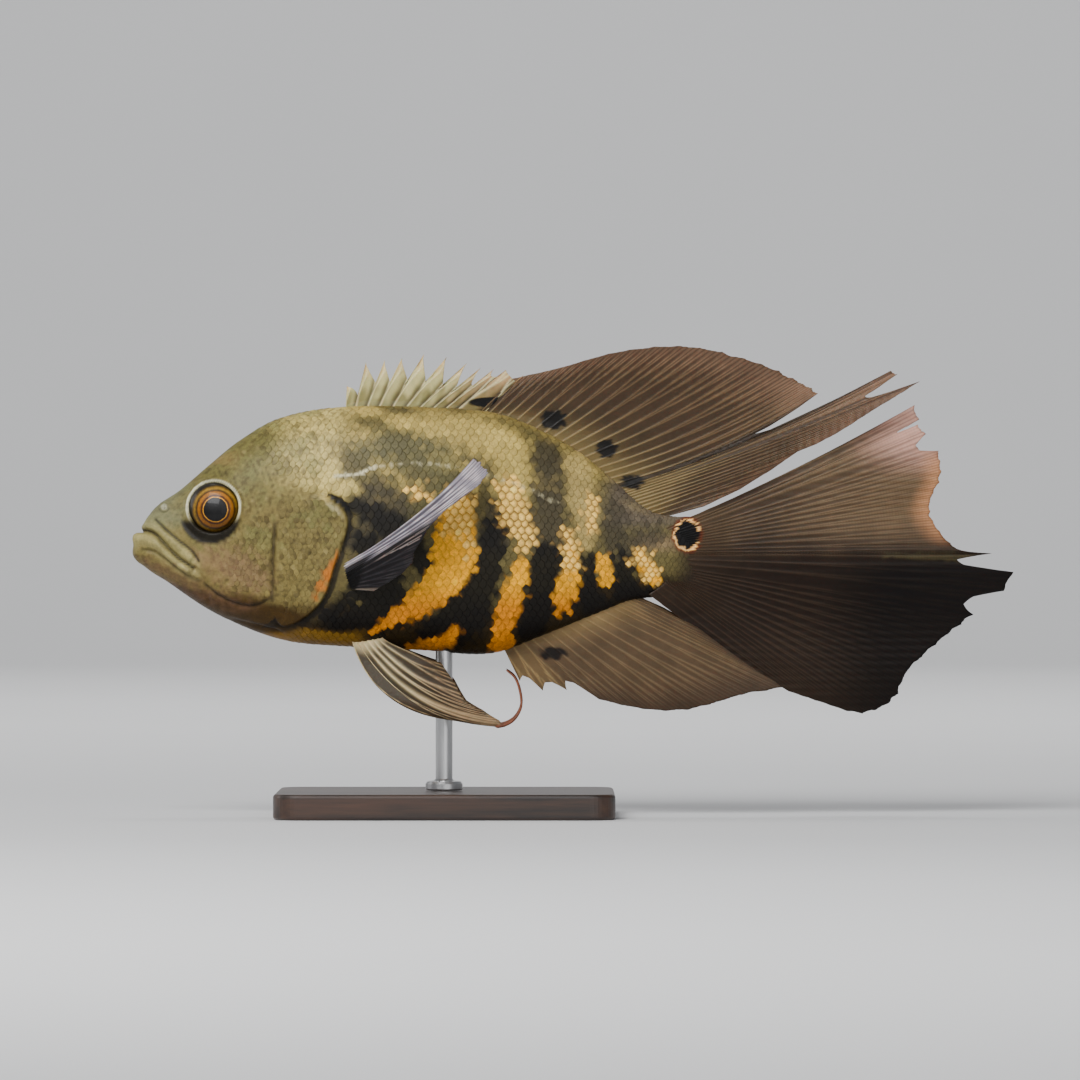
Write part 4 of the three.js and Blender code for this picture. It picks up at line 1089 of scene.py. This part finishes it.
def eyes():
    iris = ringed_iris()
    for word, side in SIDES:
        bm = bmesh.new()
        bmesh.ops.create_uvsphere(bm, u_segments=96, v_segments=64, radius=1)
        front = np.array([v.co.z > 0 for v in bm.verts])
        bmesh.ops.scale(bm, verts=bm.verts, vec=(EYE_WIDE, EYE_WIDE, EYE_DEEP))
        faces = EYE_FACES.copy()
        faces.y *= -side
        turn = Vector((0, 0, 1)).rotation_difference(faces)
        bmesh.ops.rotate(bm, verts=bm.verts, matrix=turn.to_matrix(), cent=(0, 0, 0))
        local = np.array([v.co for v in bm.verts])
        bmesh.ops.scale(bm, verts=bm.verts, vec=(MM, MM, MM))
        bmesh.ops.translate(bm, verts=bm.verts, vec=Vector(in_frame((EYE_S, side * EYE_Y, EYE_H))))
        mesh = finished(bm, f"{word}_eyeball")
        ring = np.where(front, far(local[:, 0], local[:, 2], PUPIL) / IRIS, 1.0)
        measured(mesh, ring=ring, above=local[:, 2] / EYE_WIDE)
        piece(f"{word}_eyeball", mesh, iris, [f"{word}_eye"])


# Display stand
def stained_wood():
    material, tree, shader, place = new_material("dark stained wood")
    stretched = node(tree, "Mapping", {"Vector": place, "Scale": (6, 90, 90)})
    grain = speckle(tree, stretched, 3.0, 6, 0.65)
    wired(tree, shader, {
        "Base Color": ringed(tree, grain, [(0.35, (26, 17, 12)), (0.7, (66, 42, 27))]),
        "Normal": bumped(tree, grain, 0.12, 0.0005),
        "Roughness": 0.45, "Coat Weight": 0.2, "Coat Roughness": 0.15})
    return material


def brushed_rod():
    material, tree, shader, place = new_material("brushed steel")
    stretched = node(tree, "Mapping", {"Vector": place, "Scale": (900, 900, 12)})
    scratch = speckle(tree, stretched, 3.0, 3)
    wired(tree, shader, {"Roughness": ranged(tree, scratch, 0.22, 0.42),
                         "Base Color": ranged(tree, scratch, 0.45, 0.62), "Metallic": 1.0})
    return material


PLATE_CORNER, PLATE_EDGE = 0.009, 0.0012
COLLAR = [(0.0, 0.0), (0.0062, 0.0), (0.0066, 0.0004), (0.0066, 0.0022), (0.006, 0.003),
          (0.0036, 0.0034), (0.003, 0.004)]
ROD_RADIUS, ROD_SIDES = 0.003, 48


def stand_plate():
    low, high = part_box("stand_base")
    bm = bmesh.new()
    bmesh.ops.create_cube(bm, size=1)
    bmesh.ops.scale(bm, verts=bm.verts, vec=high - low)

    def level_faces(edge):
        return sum(abs(f.normal.z) > 0.5 for f in edge.link_faces)

    # The upright edges touch no level face, and the edges of the top and the foot touch one
    for touched, offset, segments in ((0, PLATE_CORNER, 10), (1, PLATE_EDGE, 4)):
        edges = [e for e in bm.edges if level_faces(e) == touched]
        bmesh.ops.bevel(bm, geom=edges, offset=offset, affect="EDGES", segments=segments, profile=0.5,
                        material=-1)
    bmesh.ops.translate(bm, verts=bm.verts, vec=(high + low) / 2)
    mesh = finished(bm, "stand_plate")
    piece("stand_plate", mesh, stained_wood(), ["stand_base"], flat=True)


def stand_rod():
    low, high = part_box("stand_rod")
    tall = high.z - low.z
    profile = np.array(COLLAR + [(ROD_RADIUS, tall), (0.0, tall)])
    foot = [(low.x + high.x) / 2, 0, low.z]

    def place(u, v):
        radius, z = profile[np.rint(v * (len(profile) - 1)).astype(int)].T
        turn = u * 2 * np.pi
        return np.stack([radius * np.cos(turn), radius * np.sin(turn), z], -1) + foot

    mesh, _, _ = draped("stand_collar_and_rod", ROD_SIDES, len(profile) - 1, place)
    sewn(mesh)
    piece("stand_collar_and_rod", mesh, brushed_rod(), ["stand_rod"])
    mesh.set_sharp_from_angle(angle=math.radians(35))


# Floor, light and camera, in metres
FLOOR_FRONT, FLOOR_REAR, SWEEP_RADIUS, WALL_TOP, FLOOR_SIDE = -7, 3.4, 1.6, 6.0, 8
LAMPS = [("overhead_softbox", (-0.45, -1.0, 0.95), (0, 0, 0.1), 0.7, 26),
         ("front_fill", (0.6, -1.6, 0.4), (0, 0, 0.1), 1.2, 8),
         ("left_rim", (-1.3, 0.3, 0.6), (0, 0, 0.1), 0.7, 5),
         ("backdrop_wash", (0, 0.9, 2.6), (0, 4.6, 1.0), 1.6, 130)]
SKY, SKY_STRENGTH = (0.9, 0.93, 1.0, 1), 0.28


def backdrop():
    """One pale sheet: the floor, and behind it a curve up into the wall."""
    material, tree, shader, place = new_material("pale floor")
    tone = ranged(tree, speckle(tree, place, 2.0), 0.6, 0.64)
    wired(tree, shader, {"Base Color": tone, "Roughness": 0.7})
    curve = [(FLOOR_REAR + math.sin(a) * SWEEP_RADIUS, SWEEP_RADIUS - math.cos(a) * SWEEP_RADIUS)
             for a in np.linspace(0.1, math.pi / 2, 14)]
    side = np.array([(FLOOR_FRONT, 0), (FLOOR_REAR, 0), *curve, (FLOOR_REAR + SWEEP_RADIUS, WALL_TOP)])

    def sheet(u, v):
        return np.c_[(2 * u - 1) * FLOOR_SIDE, side[np.rint(v * (len(side) - 1)).astype(int)]]

    mesh, _, _ = draped("studio_sweep", 1, len(side) - 1, sheet)
    sewn(mesh)
    mesh.materials.append(material)
    mesh.polygons.foreach_set("use_smooth", [True] * len(mesh.polygons))
    floor = bpy.data.objects.new("studio_sweep", mesh)
    bpy.context.collection.objects.link(floor)


def studio():
    backdrop()
    for name, place, aim, size, power in LAMPS:
        light = bpy.data.lights.new(name, "AREA")
        light.shape, light.size, light.energy = "SQUARE", size, power
        lamp = bpy.data.objects.new(name, light)
        lamp.location = place
        lamp.rotation_euler = (Vector(aim) - Vector(place)).to_track_quat("-Z", "Y").to_euler()
        bpy.context.collection.objects.link(lamp)
    world = bpy.data.worlds.new("studio")
    world.use_nodes = True
    background = world.node_tree.nodes["Background"]
    wired(world.node_tree, background, {"Color": SKY, "Strength": SKY_STRENGTH})
    bpy.context.scene.world = world


# The photo's frame is square. Its middle is at the mouth's height, PHOTO_S behind the lip tip
PHOTO_WIDE, PHOTO_S = 1080 * 0.355 * MM, 145.55
LENS, SENSOR = 260, 36


def camera():
    view = bpy.data.cameras.new("photo_view")
    view.lens, view.sensor_width = LENS, SENSOR
    view.clip_end = 20
    obj = bpy.data.objects.new("photo_view", view)
    obj.location = in_frame((PHOTO_S, 0, 0)) - np.array([0, PHOTO_WIDE / SENSOR * LENS, 0])
    obj.rotation_euler = (math.pi / 2, 0, 0)
    bpy.context.collection.objects.link(obj)
    bpy.context.scene.camera = obj


camera()
studio()
skin()
scales()
cheek_scales()
eyes()
spiny_dorsal()
dorsal_fin()
tail_fin()
anal_fin()
pelvic_fins()
pectoral_fins()
stand_plate()
stand_rod()
